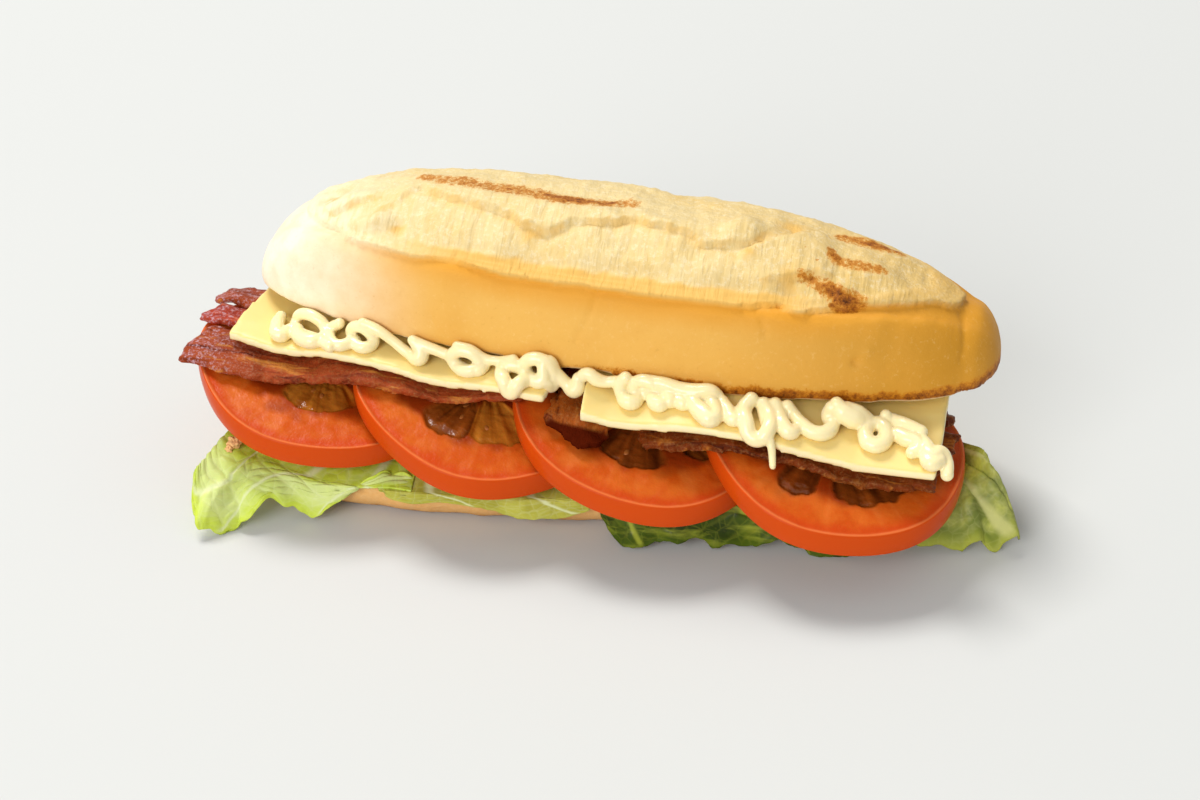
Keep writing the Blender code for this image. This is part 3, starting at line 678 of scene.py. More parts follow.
def leaf(node, material, frill, blister, room, pale=0.0, darker=2.0):
    """A leaf from its guides: it comes out under the tomato, bends over the roll and hangs free.

    Its heart is as pale as its ribs by the share given, and it is darker from a share of its length on.
    """
    inner, edges, tips, wave, cells, ribs = LEAVES[node]
    tomatoes, roll = room
    shape = bmesh.new()
    bmesh.ops.create_grid(shape, x_segments=cells[0], y_segments=cells[1], size=1)
    vein, margin, lower, heart = layers(shape, "vein", "margin", "lower", "heart")
    span = (Vector(tips[0]) - Vector(tips[-1])).length
    seed = 100 * tips[0][0]
    for vert in shape.verts:
        u, v = (vert.co.x + 1) / 2, (vert.co.y + 1) / 2
        ragged = 1 - 0.05 * v**6 * (1 + ripple((u * span, 0, 0), 0.005, 3, seed))
        ragged -= 0.25 * max(0.0, 1 - 10 * min(u, 1 - u)) ** 2
        root, edge, tip = along(inner, u).to_3d(), along(edges, u), along(tips, u)
        level, edge.z = edge.z, 0.0
        low, tip.z = tip.z, 0.0
        out = (tip - edge).normalized()
        if v < BEND:
            flat = root.lerp(edge, v / BEND)
            z = EDGE_HEIGHT + (level - EDGE_HEIGHT) * (v / BEND) - droop(flat.y)
        else:
            t = (v - BEND) / (1 - BEND) * ragged
            knee = edge.lerp(tip, 0.65) + out * 0.001
            flat = (1 - t) ** 2 * edge + 2 * t * (1 - t) * knee + t * t * tip
            z = (1 - t * t) * (level - droop(edge.y)) + t * t * low
        swing = math.sin(math.tau * (flat.x * abs(out.y) + flat.y * abs(out.x)) / wave[1] + wave[2] + 1.2 * v)
        ruffle = wave[0] * v**1.5 * swing
        flat = flat + out * (0.6 * abs(ruffle) * max(0, v - BEND))
        z += max(ruffle, 0) if v < 0.6 else ruffle
        near, apart = veins(u, v, span, ribs)
        free = step(0.35, 0.55, v)
        z += free * blister * (math.sqrt(apart / 0.003) - 0.5 + 0.5 * ripple((flat.x, flat.y, 0), 0.005, 2, seed))
        curl = frill * step(0.72, 1.0, v)
        z += curl * ripple((u * span, v * 0.01, 0), 0.0055, 2, seed + 3)
        flat = flat + out * (0.6 * curl * ripple((u * span, v * 0.01, 0), 0.0048, 2, seed + 9))
        vert[vein] = near * (1 - 0.8 * step(0.93, 1.0, v))
        vert[margin] = step(0.86, 1.0, v)
        cloud = 0.5 + 0.5 * ripple((flat.x, flat.y, 0), 0.012, 2, seed + 5)
        vert[heart] = pale * step(0.45, 0.62, v) * step(0.98, 0.80, v) * min(1.0, 0.35 + cloud)
        vert[lower] = step(darker - 0.05, darker + 0.05, v + 0.06 * ripple((flat.x, flat.y, 0), 0.008, 2, seed))
        vert.co = LAYOUT_ORIGIN + Vector((flat.x, flat.y, z))
    for vert in shape.verts:
        x, y, z = vert.co
        above = tomatoes.ray_cast(Vector((x, y, -0.01)), UP)[0]
        below = roll.ray_cast(Vector((x, y, 0.05)), DOWN)[0]
        ceiling = above.z - ROOM if above else 1.0
        floor = below.z + ROOM if below else 0.0007
        vert.co.z = max(min(z, ceiling), floor)
    bmesh.ops.smooth_vert(shape, verts=shape.verts, factor=0.4, use_axis_x=True, use_axis_y=True, use_axis_z=True)
    thickness = bpy.context.scene.sandwich_filling.leaf_thickness
    shape = evaluated(shape, ("SOLIDIFY", {"thickness": thickness, "offset": 0.0}))
    bmesh.ops.recalc_face_normals(shape, faces=shape.faces)
    made = new_object(node.replace("lettuce", "leaf"), shape, [material])
    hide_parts(node)
    return made


class SANDWICH_OT_lettuce(bpy.types.Operator):
    """Makes the five lettuce leaves"""

    bl_idname = "sandwich.lettuce"
    bl_label = "Lettuce"

    def execute(self, context):
        look = context.scene.sandwich_filling
        room = seen_from(SLICES), seen_from(["bun_bottom"])
        bright = leaf_material("bright_lettuce_blade", look.leaf_bright, linear("#BCD038"), look.rib)
        heart = leaf_material("pale_lettuce_heart", look.leaf_pale, linear("#AFA838"), look.rib)
        dark = leaf_material("dark_lettuce_blade", look.leaf_dark, linear("#2C3A08"), linear("#B2B83C"), 0.65)
        mixed = leaf_material("yellow_green_lettuce_blade", linear("#D2D458"), linear("#66781A"), linear("#DCDA8C"))
        leaf("lettuce_left", bright, 0.0016, 0.0006, room, pale=0.5)
        leaf("lettuce_middle", heart, 0.0004, 0.0003, room)
        leaf("lettuce_front_right", dark, 0.0013, 0.0008, room)
        leaf("lettuce_far_right", mixed, 0.0012, 0.0007, room, pale=0.3, darker=0.86)
        leaf("lettuce_back", bright, 0.0015, 0.0006, room, pale=0.3)
        return {"FINISHED"}


# Tomato slices in the CAD's layout: centre x, centre y and radius, then the seed chambers, each with its
# direction from the centre and half its angle in degrees, its inner and outer radius and its darkness
SLICES = {
    "tomato_1": ((-0.081, -0.006, 0.0345), ((-84, 32, 0.009, 0.0215, 0.15), (-172, 30, 0.009, 0.0240, 0.6),
                                            (100, 44, 0.008, 0.0240, 0.6), (20, 28, 0.010, 0.0240, 0.6))),
    "tomato_2": ((-0.036, -0.009, 0.0350), ((-111, 20, 0.0075, 0.0245, 0.85), (-70, 24, 0.0075, 0.0235, 0.10),
                                            (-175, 26, 0.009, 0.0240, 0.6), (90, 44, 0.008, 0.0240, 0.6),
                                            (5, 26, 0.009, 0.0240, 0.5))),
    "tomato_3": ((0.007, -0.0115, 0.0350), ((-92, 26, 0.010, 0.0235, 0.9), (-158, 28, 0.009, 0.0240, 0.7),
                                            (90, 44, 0.008, 0.0240, 0.6), (-22, 28, 0.009, 0.0240, 0.7))),
    "tomato_4": ((0.057, -0.015, 0.0340), ((-111, 14, 0.008, 0.0255, 0.95), (-52, 34, 0.008, 0.0250, 0.9),
                                           (90, 44, 0.008, 0.0240, 0.6), (178, 28, 0.009, 0.0240, 0.6))),
}
SLICE_THICKNESS = 0.0062
# Roundness of a slice's edge, the height of its top face at its middle and how that falls to the right
SLICE_EDGE = 0.0005
SLICE_TOP = 0.0305
SLICE_SLOPE = math.tan(math.radians(9.5))
# Shares of a slice's outline at which its side starts and ends
SIDE_FROM, SIDE_TO = 0.14, 0.32


def tomato_material(look):
    # Ripe tomato: wet cut flesh, taut glossy skin and clear jelly over dark chambers
    made, tree, shader = new_material("ripe_tomato_flesh_and_skin")
    place = add(tree, "TexCoord").outputs["Object"]
    ray, gel, skin = (mask(tree, name) for name in ("ray", "gel", "skin"))
    flesh = coats(
        tree, look.flesh,
        (mapped(tree, clouds(tree, place, 0.007, 4, 0.6), 0.40, 0.62), linear("#D0621C")),
        (mapped(tree, ray, 0.55, 0.85, end=0.3), linear("#DA7430")),
        # Darker red away from the rim: partly the tomato's darker inside, partly painted shade under the bacon
        (mask(tree, "inner"), linear("#8C2C08")),
        (mask(tree, "wall"), linear("#C43E0E")),
        (skin, look.skin),
        # Painted highlight: a pale line where the cut face meets the skin
        (mask(tree, "lip"), linear("#E8824A")))
    clear = coats(tree, linear("#8A3A04"), (ray, linear("#D8882C")))
    murky = coats(tree, look.gel, (ray, linear("#8E3C10")))
    jelly = coats(tree, clear, (mask(tree, "dark"), murky))
    fibre = clouds(tree, place, 0.0014, 3, 0.7)
    fill(tree, shader, {
        "Base Color": coats(tree, flesh, (gel, jelly)),
        "Normal": bump(tree, fibre, mapped(tree, skin, start=0.30, end=0.02), 0.0005),
        "Roughness": mapped(tree, gel, start=0.30, end=0.12),
        "Specular IOR Level": mapped(tree, gel, start=0.10, end=0.60),
        "Subsurface Weight": 0.08, "Subsurface Radius": (1.0, 0.25, 0.05), "Subsurface Scale": 0.003})
    return made


def seed_material():
    # Tomato seed: a firm pale grain under a thin film of jelly
    made, tree, shader = new_material("tomato_seed")
    fill(tree, shader, {"Base Color": linear("#A8602A"), "Roughness": 0.2})
    return made


def slice_profile(t, radius):
    """Radius and height of a slice's outline at t, which runs from 0 under its middle to 1 above it."""
    half, edge = SLICE_THICKNESS / 2, SLICE_EDGE
    if t < SIDE_FROM:
        return (radius - edge) * t / SIDE_FROM, -half
    if t > SIDE_TO:
        return (radius - edge) * (1 - t) / (1 - SIDE_TO), half
    side = (t - SIDE_FROM) / (SIDE_TO - SIDE_FROM)
    if side < 0.3:
        turn = side / 0.3 * math.pi / 2
        return radius - edge + edge * math.sin(turn), edge - half - edge * math.cos(turn)
    if side > 0.7:
        turn = (side - 0.7) / 0.3 * math.pi / 2
        return radius - edge + edge * math.cos(turn), half - edge + edge * math.sin(turn)
    share = (side - 0.3) / 0.4
    return radius + 0.0003 * math.sin(math.pi * share), (half - edge) * (2 * share - 1)


def tomato_slice(node, finishes, rng):
    (cx, cy, radius), chambers = SLICES[node]
    shape = bmesh.new()
    bmesh.ops.create_uvsphere(shape, u_segments=220, v_segments=120, radius=1)
    skin, wall, gel, dark, ray, core_and_shade, lip = layers(shape, "skin", "wall", "gel", "dark", "ray", "inner", "lip")
    for vert in shape.verts:
        t = 1 - math.acos(max(-1.0, min(1.0, vert.co.z))) / math.pi
        angle = math.atan2(vert.co.y, vert.co.x)
        lobed = 1 + 0.012 * math.sin(5 * angle + cx * 90) + 0.010 * math.sin(2 * angle + 1)
        out, level = slice_profile(t, radius * lobed)
        x, y = cx + out * math.cos(angle), cy + out * math.sin(angle)
        vert[skin] = step(0.128, SIDE_FROM, t) * step(0.322, 0.312, t)
        # Painted highlight: a pale line along the edge between the cut face and the skin
        vert[lip] = 0.5 * step(0.296, 0.308, t) * step(0.336, 0.324, t)
        depth = 0.0
        vert[ray] = 0.5 + 0.5 * ripple((9 * math.cos(angle), 9 * math.sin(angle), 40 * out), 1.0, 3, 30 * cx)
        if t > SIDE_TO:
            rim = radius * lobed - out
            vert[wall] = 0.8 * step(0.0046, 0.0012, rim + 0.0010 * ripple((x, y, 0), 0.006, 2))
            depth = 0.00025 * step(0.0004, 0.0012, rim) + 0.00012 * ripple((x, y, 0), 0.0035, 2, 2.0)
            # Darker red inward of the rim: partly the tomato's darker core, partly painted shade under the bacon
            vert[core_and_shade] = 0.9 * step(0.0085, 0.0135, rim + 0.0025 * ripple((x, y, 0), 0.007, 2, 4.0))
            for middle, half, inner, outer, darkness in chambers:
                off = (math.degrees(angle) - middle + 180) % 360 - 180
                bite = 0.0011 * ripple((6 * math.cos(angle), 6 * math.sin(angle), 0), 1.0, 2, middle)
                share = (out - bite - (inner + outer) / 2) / ((outer - inner) / 2)
                size = (abs(off) / half) ** 3 + abs(share) ** 3 + 0.15 * ripple((x, y, 0), 0.003, 2, 7.0)
                hollow = step(1.30, 0.75, size)
                if hollow > vert[gel]:
                    vert[gel], vert[dark] = hollow, darkness
                depth = max(depth, 0.0010 * step(1.15, 0.75, size)
                            + hollow * (0.0002 * ripple((x, y, 0), 0.0025, 2, 5.0) - 0.0002 * vert[ray]))
        z = SLICE_TOP - SLICE_SLOPE * (x - cx) + level - SLICE_THICKNESS / 2 - droop(y) - depth
        vert.co = LAYOUT_ORIGIN + Vector((x, y, z))
    for middle, half, inner, outer, darkness in chambers:
        for _ in range(2):
            turn = math.radians(middle + rng.uniform(-0.8, 0.8) * half)
            out = rng.uniform(inner + 0.003, outer - 0.0025)
            x, y = cx + out * math.cos(turn), cy + out * math.sin(turn)
            z = SLICE_TOP - SLICE_SLOPE * (x - cx) - droop(y) - 0.0011 - rng.uniform(0.0, 0.0003)
            grain = (Matrix.Translation(LAYOUT_ORIGIN + Vector((x, y, z)))
                     @ Matrix.Rotation(turn + rng.uniform(-0.4, 0.4), 4, "Z")
                     @ Matrix.Diagonal((0.0014, 0.0008, 0.0004, 1)))
            made = bmesh.ops.create_icosphere(shape, subdivisions=2, radius=1, matrix=grain)["verts"]
            for face in {face for vert in made for face in vert.link_faces}:
                face.material_index = 1
    bmesh.ops.recalc_face_normals(shape, faces=shape.faces)
    made = new_object(node.replace("tomato", "tomato_slice"), shape, finishes)
    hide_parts(node)


class SANDWICH_OT_tomatoes(bpy.types.Operator):
    """Makes the four tomato slices with their skin, seed chambers, jelly and seeds"""

    bl_idname = "sandwich.tomatoes"
    bl_label = "Tomato slices"

    def execute(self, context):
        finishes = [tomato_material(context.scene.sandwich_filling), seed_material()]
        rng = random.Random(7)
        for node in SLICES:
            tomato_slice(node, finishes, rng)
        return {"FINISHED"}


def bacon_material(name, lean, fat, along_y=False):
    # Fried streaky bacon: red-brown lean between amber streaks of fat, greasy, with crisp pale specks that are partly
    # painted glints, and a painted reflection of the sky at the left tips
    made, tree, shader = new_material(name)
    place = add(tree, "TexCoord").outputs["Object"]
    stretched = add(tree, "Mapping", {"Vector": place, "Scale": (1, 0.14, 0.5) if along_y else (0.14, 1, 0.5)})
    streak = clouds(tree, stretched.outputs[0], 0.0026, 4, 0.6, 0.6)
    grain = clouds(tree, place, 0.0010, 4, 0.75)
    painted_sheen, char = mask(tree, "painted_sheen"), mask(tree, "char")
    deep = tinted(lean, (0.36, 0.22, 0.2))
    bands = add(tree, "ValToRGB", {0: streak}, stops=((0.34, deep), (0.46, lean), (0.56, lean), (0.66, fat)))
    # Pale crisp specks, partly painted glints; at the left tips a painted pink-white reflection of the sky on the
    # grease
    speck_and_sheen_colour = coats(tree, linear("#B4824E"), (painted_sheen, linear("#D0ACB8")))
    specks_and_glints = times(tree, mapped(tree, grain, 0.50, 0.66, end=0.85), mapped(tree, painted_sheen, start=0.42))
    colour = coats(
        tree, bands.outputs[0],
        (mapped(tree, clouds(tree, place, 0.008, 3), 0.48, 0.66, end=0.40), deep),
        (specks_and_glints, speck_and_sheen_colour),
        # The middle rasher's hanging front end is painted nearly black and without sheen
        (char, linear("#4E1606")))
    fine = bump(tree, grain, 0.7, 0.0007)
    fill(tree, shader, {
        "Base Color": colour, "Normal": bump(tree, streak, 0.5, 0.0012, fine), "Roughness": 0.32,
        "Specular IOR Level": mapped(tree, char, start=0.10, end=0.0)})
    return made


# Torn ends of the rashers: each cut takes away what lies beyond a point, in the direction given
RASHER_CUTS = {
    "bacon_front_left": (((-0.1115, -0.0240), (-1.0, 0.40)),),
    "bacon_red_left": (((-0.1120, -0.0060), (-1.0, 0.6)),),
    "bacon_back_left": (((-0.1115, 0.0070), (-1.0, 0.8)),),
    "bacon_middle": (((-0.0100, -0.0290), (-0.55, -1.0)),),
    "bacon_front_right": (),
    "bacon_back_right": (((0.0960, -0.0020), (1.0, 0.5)),),
}


class SANDWICH_OT_bacon(bpy.types.Operator):
    """Makes the six rashers with their torn ends"""

    bl_idname = "sandwich.bacon"
    bl_label = "Bacon"

    def execute(self, context):
        look = context.scene.sandwich_filling
        brown = bacon_material("fried_streaky_bacon", look.lean, look.fat)
        red = bacon_material("lightly_fried_bacon", linear("#A93A22"), linear("#CF6A45"))
        amber = bacon_material("amber_bacon_fat", linear("#A65318"), linear("#C97B35"), along_y=True)
        crisp = bacon_material("well_fried_bacon", linear("#7A340C"), linear("#B06622"))
        finishes = {"bacon_red_left": red, "bacon_middle": amber, "bacon_front_right": crisp, "bacon_back_right": crisp}
        for node, cuts in RASHER_CUTS.items():
            shape = solid_copy(node)
            for (x, y), (across, back) in cuts:
                everything = shape.verts[:] + shape.edges[:] + shape.faces[:]
                bmesh.ops.bisect_plane(shape, geom=everything, plane_co=(x, y, 0), plane_no=(across, back, 0),
                                       clear_outer=True)
                bmesh.ops.holes_fill(shape, edges=[edge for edge in shape.edges if edge.is_boundary])
            shape = even(shape, 0.00055, 3)
            painted_sheen, char = layers(shape, "painted_sheen", "char")
            moves = {}
            for vert in shape.verts:
                side = Vector((vert.normal.x, vert.normal.y, 0))
                ragged = 0.0011 * ripple(vert.co, 0.0032, 3, 5.0)
                lift = 0.0005 * ripple((vert.co.x, vert.co.y, 0), 0.006, 2)
                moves[vert] = side * ragged + Vector((0, 0, lift))
                # Painted sheen: the left tips carry a painted reflection of the sky on the grease
                vert[painted_sheen] = step(-0.082, -0.107, vert.co.x)
                # The front end of the middle rasher, which hangs down over the third slice, is painted nearly black and
                # without sheen
                if node == "bacon_middle":
                    vert[char] = step(-0.0290, -0.0305, vert.co.y)
            for vert, move in moves.items():
                vert.co += move
            made = new_object(node.replace("bacon", "rasher"), shape, [finishes.get(node, brown)])
            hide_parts(node)
        return {"FINISHED"}


def cheese_material(look):
    # Sliced processed cheese: dense, smooth and waxy, with a dull sheen and light soaking in
    made, tree, shader = new_material("sliced_pale_cheese")
    place = add(tree, "TexCoord").outputs["Object"]
    colour = coats(
        tree, look.cheese,
        (clouds(tree, place, 0.014, 3), tinted(look.cheese, (0.96, 0.90, 0.74))),
        # Painted highlight: the cut edges are painted paler, as where light catches them
        (mask(tree, "edge"), linear("#F8E8B4")))
    fill(tree, shader, {
        "Base Color": colour, "Normal": bump(tree, clouds(tree, place, 0.0015), 0.06, 0.0003), "Roughness": 0.42,
        "Subsurface Weight": 0.2, "Subsurface Radius": (1.0, 0.8, 0.3), "Subsurface Scale": 0.002})
    return made


class SANDWICH_OT_cheese(bpy.types.Operator):
    """Makes the two slices of cheese"""

    bl_idname = "sandwich.cheese"
    bl_label = "Cheese"

    def execute(self, context):
        finish = cheese_material(context.scene.sandwich_filling)
        for node in ("cheese_left", "cheese_right"):
            shape = even(solid_copy(node), 0.0007, 2)
            edge, = layers(shape, "edge")
            for vert in shape.verts:
                # Edge: the slice's sides, painted paler as a painted highlight
                vert[edge] = step(0.65, 0.35, abs(vert.normal.z))
            made = new_object(node.replace("cheese", "cheese_slice"), shape, [finish])
            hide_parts(node)
        return {"FINISHED"}


# Strands of mayonnaise in millimetres: x and y on the plane of the cheese, and the strand's radius
MAYO_LEFT = (
    ((-86, -5.2, 1.5), (-85.5, -10.2, 1.9), (-83.2, -14.2, 1.9), (-82.1, -11.3, 1.6), (-80.4, -10.2, 1.6),
     (-78.6, -13.7, 2), (-76.1, -16.1, 2.1), (-73.4, -17, 2), (-71.6, -15.7, 1.6), (-71.2, -12.7, 1.6),
     (-72.4, -8.7, 1.6), (-74.8, -5, 1.6), (-77.6, -3.1, 1.6), (-79.9, -3.6, 1.6), (-80.9, -6.4, 1.6),
     (-80.4, -10.2, 1.6), (-71, -16.8, 1.5), (-68.3, -18.8, 1.6)),
    ((-67.4, -7.7, 1.4), (-69.9, -11.2, 1.6), (-69.2, -15.6, 1.6), (-66.4, -18, 1.6), (-63.9, -16.8, 1.6),
     (-63, -15.1, 1.6), (-61.2, -17.3, 1.6), (-59.2, -17.7, 1.6), (-57.7, -16.3, 1.6), (-57.4, -13.6, 1.6),
     (-58.6, -10.4, 1.6), (-60.6, -8.4, 1.6), (-62.6, -8.5, 1.6), (-63.8, -10.5, 1.6), (-63.6, -13.6, 1.6),
     (-62.3, -16.3, 1.6)),
    ((-60.4, -6.1, 1.4), (-56.5, -8.2, 1.4), (-51.8, -12.6, 1.3), (-47.4, -17.1, 1.5), (-44.3, -18.6, 2.2),
     (-43.8, -15.2, 2), (-45.6, -10.6, 1.5)),
    ((-46.3, -9.7, 1.3), (-42.7, -11.3, 1.5), (-38.5, -13.1, 1.4), (-35.4, -15.7, 1.5), (-35, -17.2, 1.7),
     (-33.7, -20, 1.7), (-31.6, -21.7, 1.7), (-29.3, -22.1, 1.7), (-27.9, -20.6, 1.7), (-27.8, -18.1, 1.7),
     (-29.2, -15.2, 1.7), (-31.4, -13, 1.7), (-33.7, -12.6, 1.7), (-35.1, -14.3, 1.7), (-35, -17.2, 1.7),
     (-27.8, -21.9, 1.6), (-26.5, -20.4, 1.5)),
    ((-33.9, -9.7, 1.3), (-30.5, -12.3, 1.5), (-26.3, -16.5, 1.3), (-22.6, -16.6, 1.2), (-18.7, -15.1, 1.3)),
    ((-15.2, -24.5, 1.9), (-15.1, -22.1, 1.9), (-16.1, -19.8, 1.9), (-18, -18.6, 1.9), (-19.9, -18.9, 1.9),
     (-21.1, -20.6, 1.9), (-21.2, -23.1, 1.9), (-20.1, -25.3, 1.9), (-18.3, -26.2, 1.9), (-16.4, -26.1, 1.9),
     (-15.2, -24.5, 1.9), (-14.2, -23.8, 1.6)),
    ((-11.9, -23.8, 1.8), (-9.8, -23.4, 1.8), (-8.4, -21.1, 1.8), (-8, -18.7, 1.8), (-9.1, -15.8, 1.8),
     (-11.1, -14, 1.8), (-13.3, -14, 1.8), (-15, -15.8, 1.8), (-15.5, -18.7, 1.8), (-14.8, -21.5, 1.8),
     (-13, -23.4, 1.8), (-10.8, -23.8, 1.8), (-9.7, -13.6, 1.5), (-7.1, -13.2, 1.5), (-4.4, -14.8, 1.7),
     (-2.2, -19.5, 2.3), (-1.2, -14.6, 1.7)),
)
MAYO_RIGHT = (
    ((-1, -14.5, 1.6), (1, -19.6, 1.6), (3.3, -20.7, 1.8), (6, -19.7, 1.5), (8.3, -17.8, 1.4)),
    ((11, -15.5, 1.6), (9.8, -18.9, 1.8), (10.3, -23.2, 1.9), (12.9, -26.2, 2), (14.5, -23.7, 1.8),
     (13.3, -19.3, 1.6), (14.5, -16, 1.6), (17.7, -17.6, 1.8), (20.6, -21.5, 1.9), (23.1, -25.9, 2)),
    ((14.9, -21.3, 1.6), (17.6, -23.4, 1.9), (20.5, -27.1, 2.1), (22, -25.6, 1.7)),
    ((17.4, -15.9, 1.4), (21.5, -19.2, 1.9), (25.5, -21.3, 2.1), (29.6, -21.6, 2.2), (33.1, -20.2, 1.9),
     (34.8, -21.5, 1.6)),
    ((27.2, -22.5, 2), (29.3, -26.3, 2.1), (32.1, -29.6, 2.4), (34.3, -30.9, 2.3), (34.8, -27.4, 2),
     (33.1, -24.5, 1.9)),
    ((24.2, -23.4, 1.8), (26.5, -26.4, 1.9), (28.1, -24.9, 1.6)),
    ((36.2, -24.1, 1.7), (38.1, -27, 1.8), (40, -29.8, 1.9), (41.1, -26.6, 1.6), (42, -23.6, 1.6)),
    ((43.5, -21.2, 1.8), (42.2, -25.5, 2), (43.1, -30.4, 2.1), (45, -32.6, 2.1), (47.3, -32.7, 2),
     (48.8, -31.4, 2), (48.5, -26.3, 2), (46.7, -22.5, 1.9)),
    ((46.2, -22.6, 1.6), (48, -28.3, 1.5), (49.2, -32.4, 1.2), (50, -33.4, 1), (51, -37.4, 0.8)),
    ((49.6, -20.8, 1.7), (50.6, -25, 2), (52.3, -28.7, 2.1), (54.3, -30.2, 1.9), (55.8, -27.9, 1.5)),
    ((52.7, -20.3, 1.6), (54.3, -23.7, 1.8), (56.9, -26.6, 1.9), (60.2, -28.2, 1.9), (62.9, -27.5, 2),
     (64.3, -24.1, 2), (63.2, -20.3, 1.9), (63.9, -16.4, 1.8)),
    ((65, -13.8, 1.7), (66.5, -17.8, 2.6), (69.3, -20.6, 3), (72, -21.3, 2.6), (73.4, -22.5, 2)),
    ((67.7, -15.7, 1.9), (70.4, -17.3, 2.2), (72.6, -19.3, 2)),
    ((73.7, -27.7, 2), (75.2, -28.8, 2), (76.8, -28.4, 2), (78, -26.7, 2), (78.1, -24.1, 2), (77.2, -21.9, 2),
     (75.6, -21, 2), (74, -21.8, 2), (73, -24, 2), (73.2, -26.6, 2), (74.3, -28.4, 2), (78.3, -20.5, 1.7),
     (77.5, -15.9, 1.4)),
    ((79.4, -18.4, 1.7), (81.8, -20.6, 2.2), (84.2, -21.7, 2.2), (86.5, -22.5, 2)),
    ((81.1, -24.1, 2), (83.1, -25.4, 2.1), (85.4, -26.1, 2.1), (86.6, -28.4, 1.9), (85, -29.4, 1.6)),
    ((86.6, -24, 1.7), (88.3, -27.3, 2), (89.9, -30.4, 2.3), (91.9, -28.7, 1.9), (93.5, -29.5, 1.7),
     (94.1, -33.3, 1.6)),
    ((88.2, -28.9, 1.6), (89.9, -32.7, 2), (91.7, -31.1, 1.9)),
)
# Rise of a strand for each length by which the upper roll keeps it in front of its own place
MAYO_LEAN = 0.62


def mayonnaise_material(look):
    # Mayonnaise: a thick glossy emulsion, ivory, with light soaking well in
    made, tree, shader = new_material("thick_mayonnaise")
    place = add(tree, "TexCoord").outputs["Object"]
    deep = tinted(look.mayonnaise, (0.98, 0.93, 0.80))
    fill(tree, shader, {
        "Base Color": coats(tree, look.mayonnaise, (clouds(tree, place, 0.005), deep)), "Roughness": 0.20,
        "Subsurface Weight": 0.3, "Subsurface Radius": (1.0, 0.85, 0.5), "Subsurface Scale": 0.002})
    return made


def strand_place(cheese, x, y, radius):
    """Middle of a strand that lies on the cheese, or that leans up where it meets the upper roll."""
    share = min(0.999, abs(x - CROWN_MIDDLE.x) / CROWN_HALF_LENGTH)
    bulge = CROWN_HALF_WIDTH * (1 - share**CROWN_SQUARENESS) ** (1 / CROWN_SQUARENESS)
    rim = CROWN_MIDDLE.y + math.tan(CROWN_YAW) * (x - CROWN_MIDDLE.x) - bulge
    front = min(y, rim - radius - ROOM)
    top = cheese.ray_cast(Vector((x, front, 0.1)), DOWN)[0]
    if top is None:
        # Beyond the cheese the strand hangs down from its edge
        top = cheese.find_nearest(Vector((x, front, 0.036)))[0]
        top.z -= 0.8 * math.hypot(top.x - x, top.y - front)
    return Vector((x, front, top.z + 0.85 * radius + MAYO_LEAN * (y - front)))


def strand(cheese, points):
    """One tube through the points, round at both ends."""
    curve = bpy.data.curves.new("strand", "CURVE")
    curve.dimensions = "3D"
    curve.bevel_depth = 1.0
    curve.bevel_resolution = 4
    curve.resolution_u = 6
    curve.use_fill_caps = True
    spline = curve.splines.new("BEZIER")
    spline.bezier_points.add(len(points) - 1)
    # Smoothing the skin later takes about 0.1 mm off the strand again
    sizes = [MM * (radius + 0.1) for _, _, radius in points]
    places = [strand_place(cheese, MM * x, MM * y, size) for (x, y, _), size in zip(points, sizes)]
    for knot, place, size in zip(spline.bezier_points, places, sizes):
        knot.co = place
        knot.radius = size
        knot.handle_left_type = knot.handle_right_type = "AUTO"
    holder = bpy.data.objects.new("strand", curve)
    bpy.context.scene.collection.objects.link(holder)
    bpy.context.view_layer.update()
    tube = bmesh.new()
    tube.from_mesh(holder.evaluated_get(bpy.context.evaluated_depsgraph_get()).to_mesh())
    bpy.data.objects.remove(holder)
    bpy.data.curves.remove(curve)
    bmesh.ops.remove_doubles(tube, verts=tube.verts, dist=1e-6)
    for place, size in ((places[0], sizes[0]), (places[-1], sizes[-1])):
        bmesh.ops.create_icosphere(tube, subdivisions=3, radius=size, matrix=Matrix.Translation(place))
    return tube


class SANDWICH_OT_mayonnaise(bpy.types.Operator):
    """Makes the piped mayonnaise"""

    bl_idname = "sandwich.mayonnaise"
    bl_label = "Mayonnaise"

    def execute(self, context):
        finish = mayonnaise_material(context.scene.sandwich_filling)
        cheese = seen_from(["cheese_left", "cheese_right"])
        for node, strands in (("mayo_left", MAYO_LEFT), ("mayo_right", MAYO_RIGHT)):
            together = bpy.data.meshes.new("strands")
            shape = bmesh.new()
            for points in strands:
                tube = strand(cheese, points)
                tube.to_mesh(together)
                tube.free()
                shape.from_mesh(together)
            bpy.data.meshes.remove(together)
            shape = even(shape, 0.0003, 2)
            made = new_object(node + "_piped", shape, [finish])
            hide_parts(node)
        return {"FINISHED"}


# Bread crumbs that fell on the left leaf: x, y and size
CRUMBS = ((-0.0929, -0.0306, 0.0017), (-0.0936, -0.0322, 0.0010), (-0.0921, -0.0291, 0.0009))


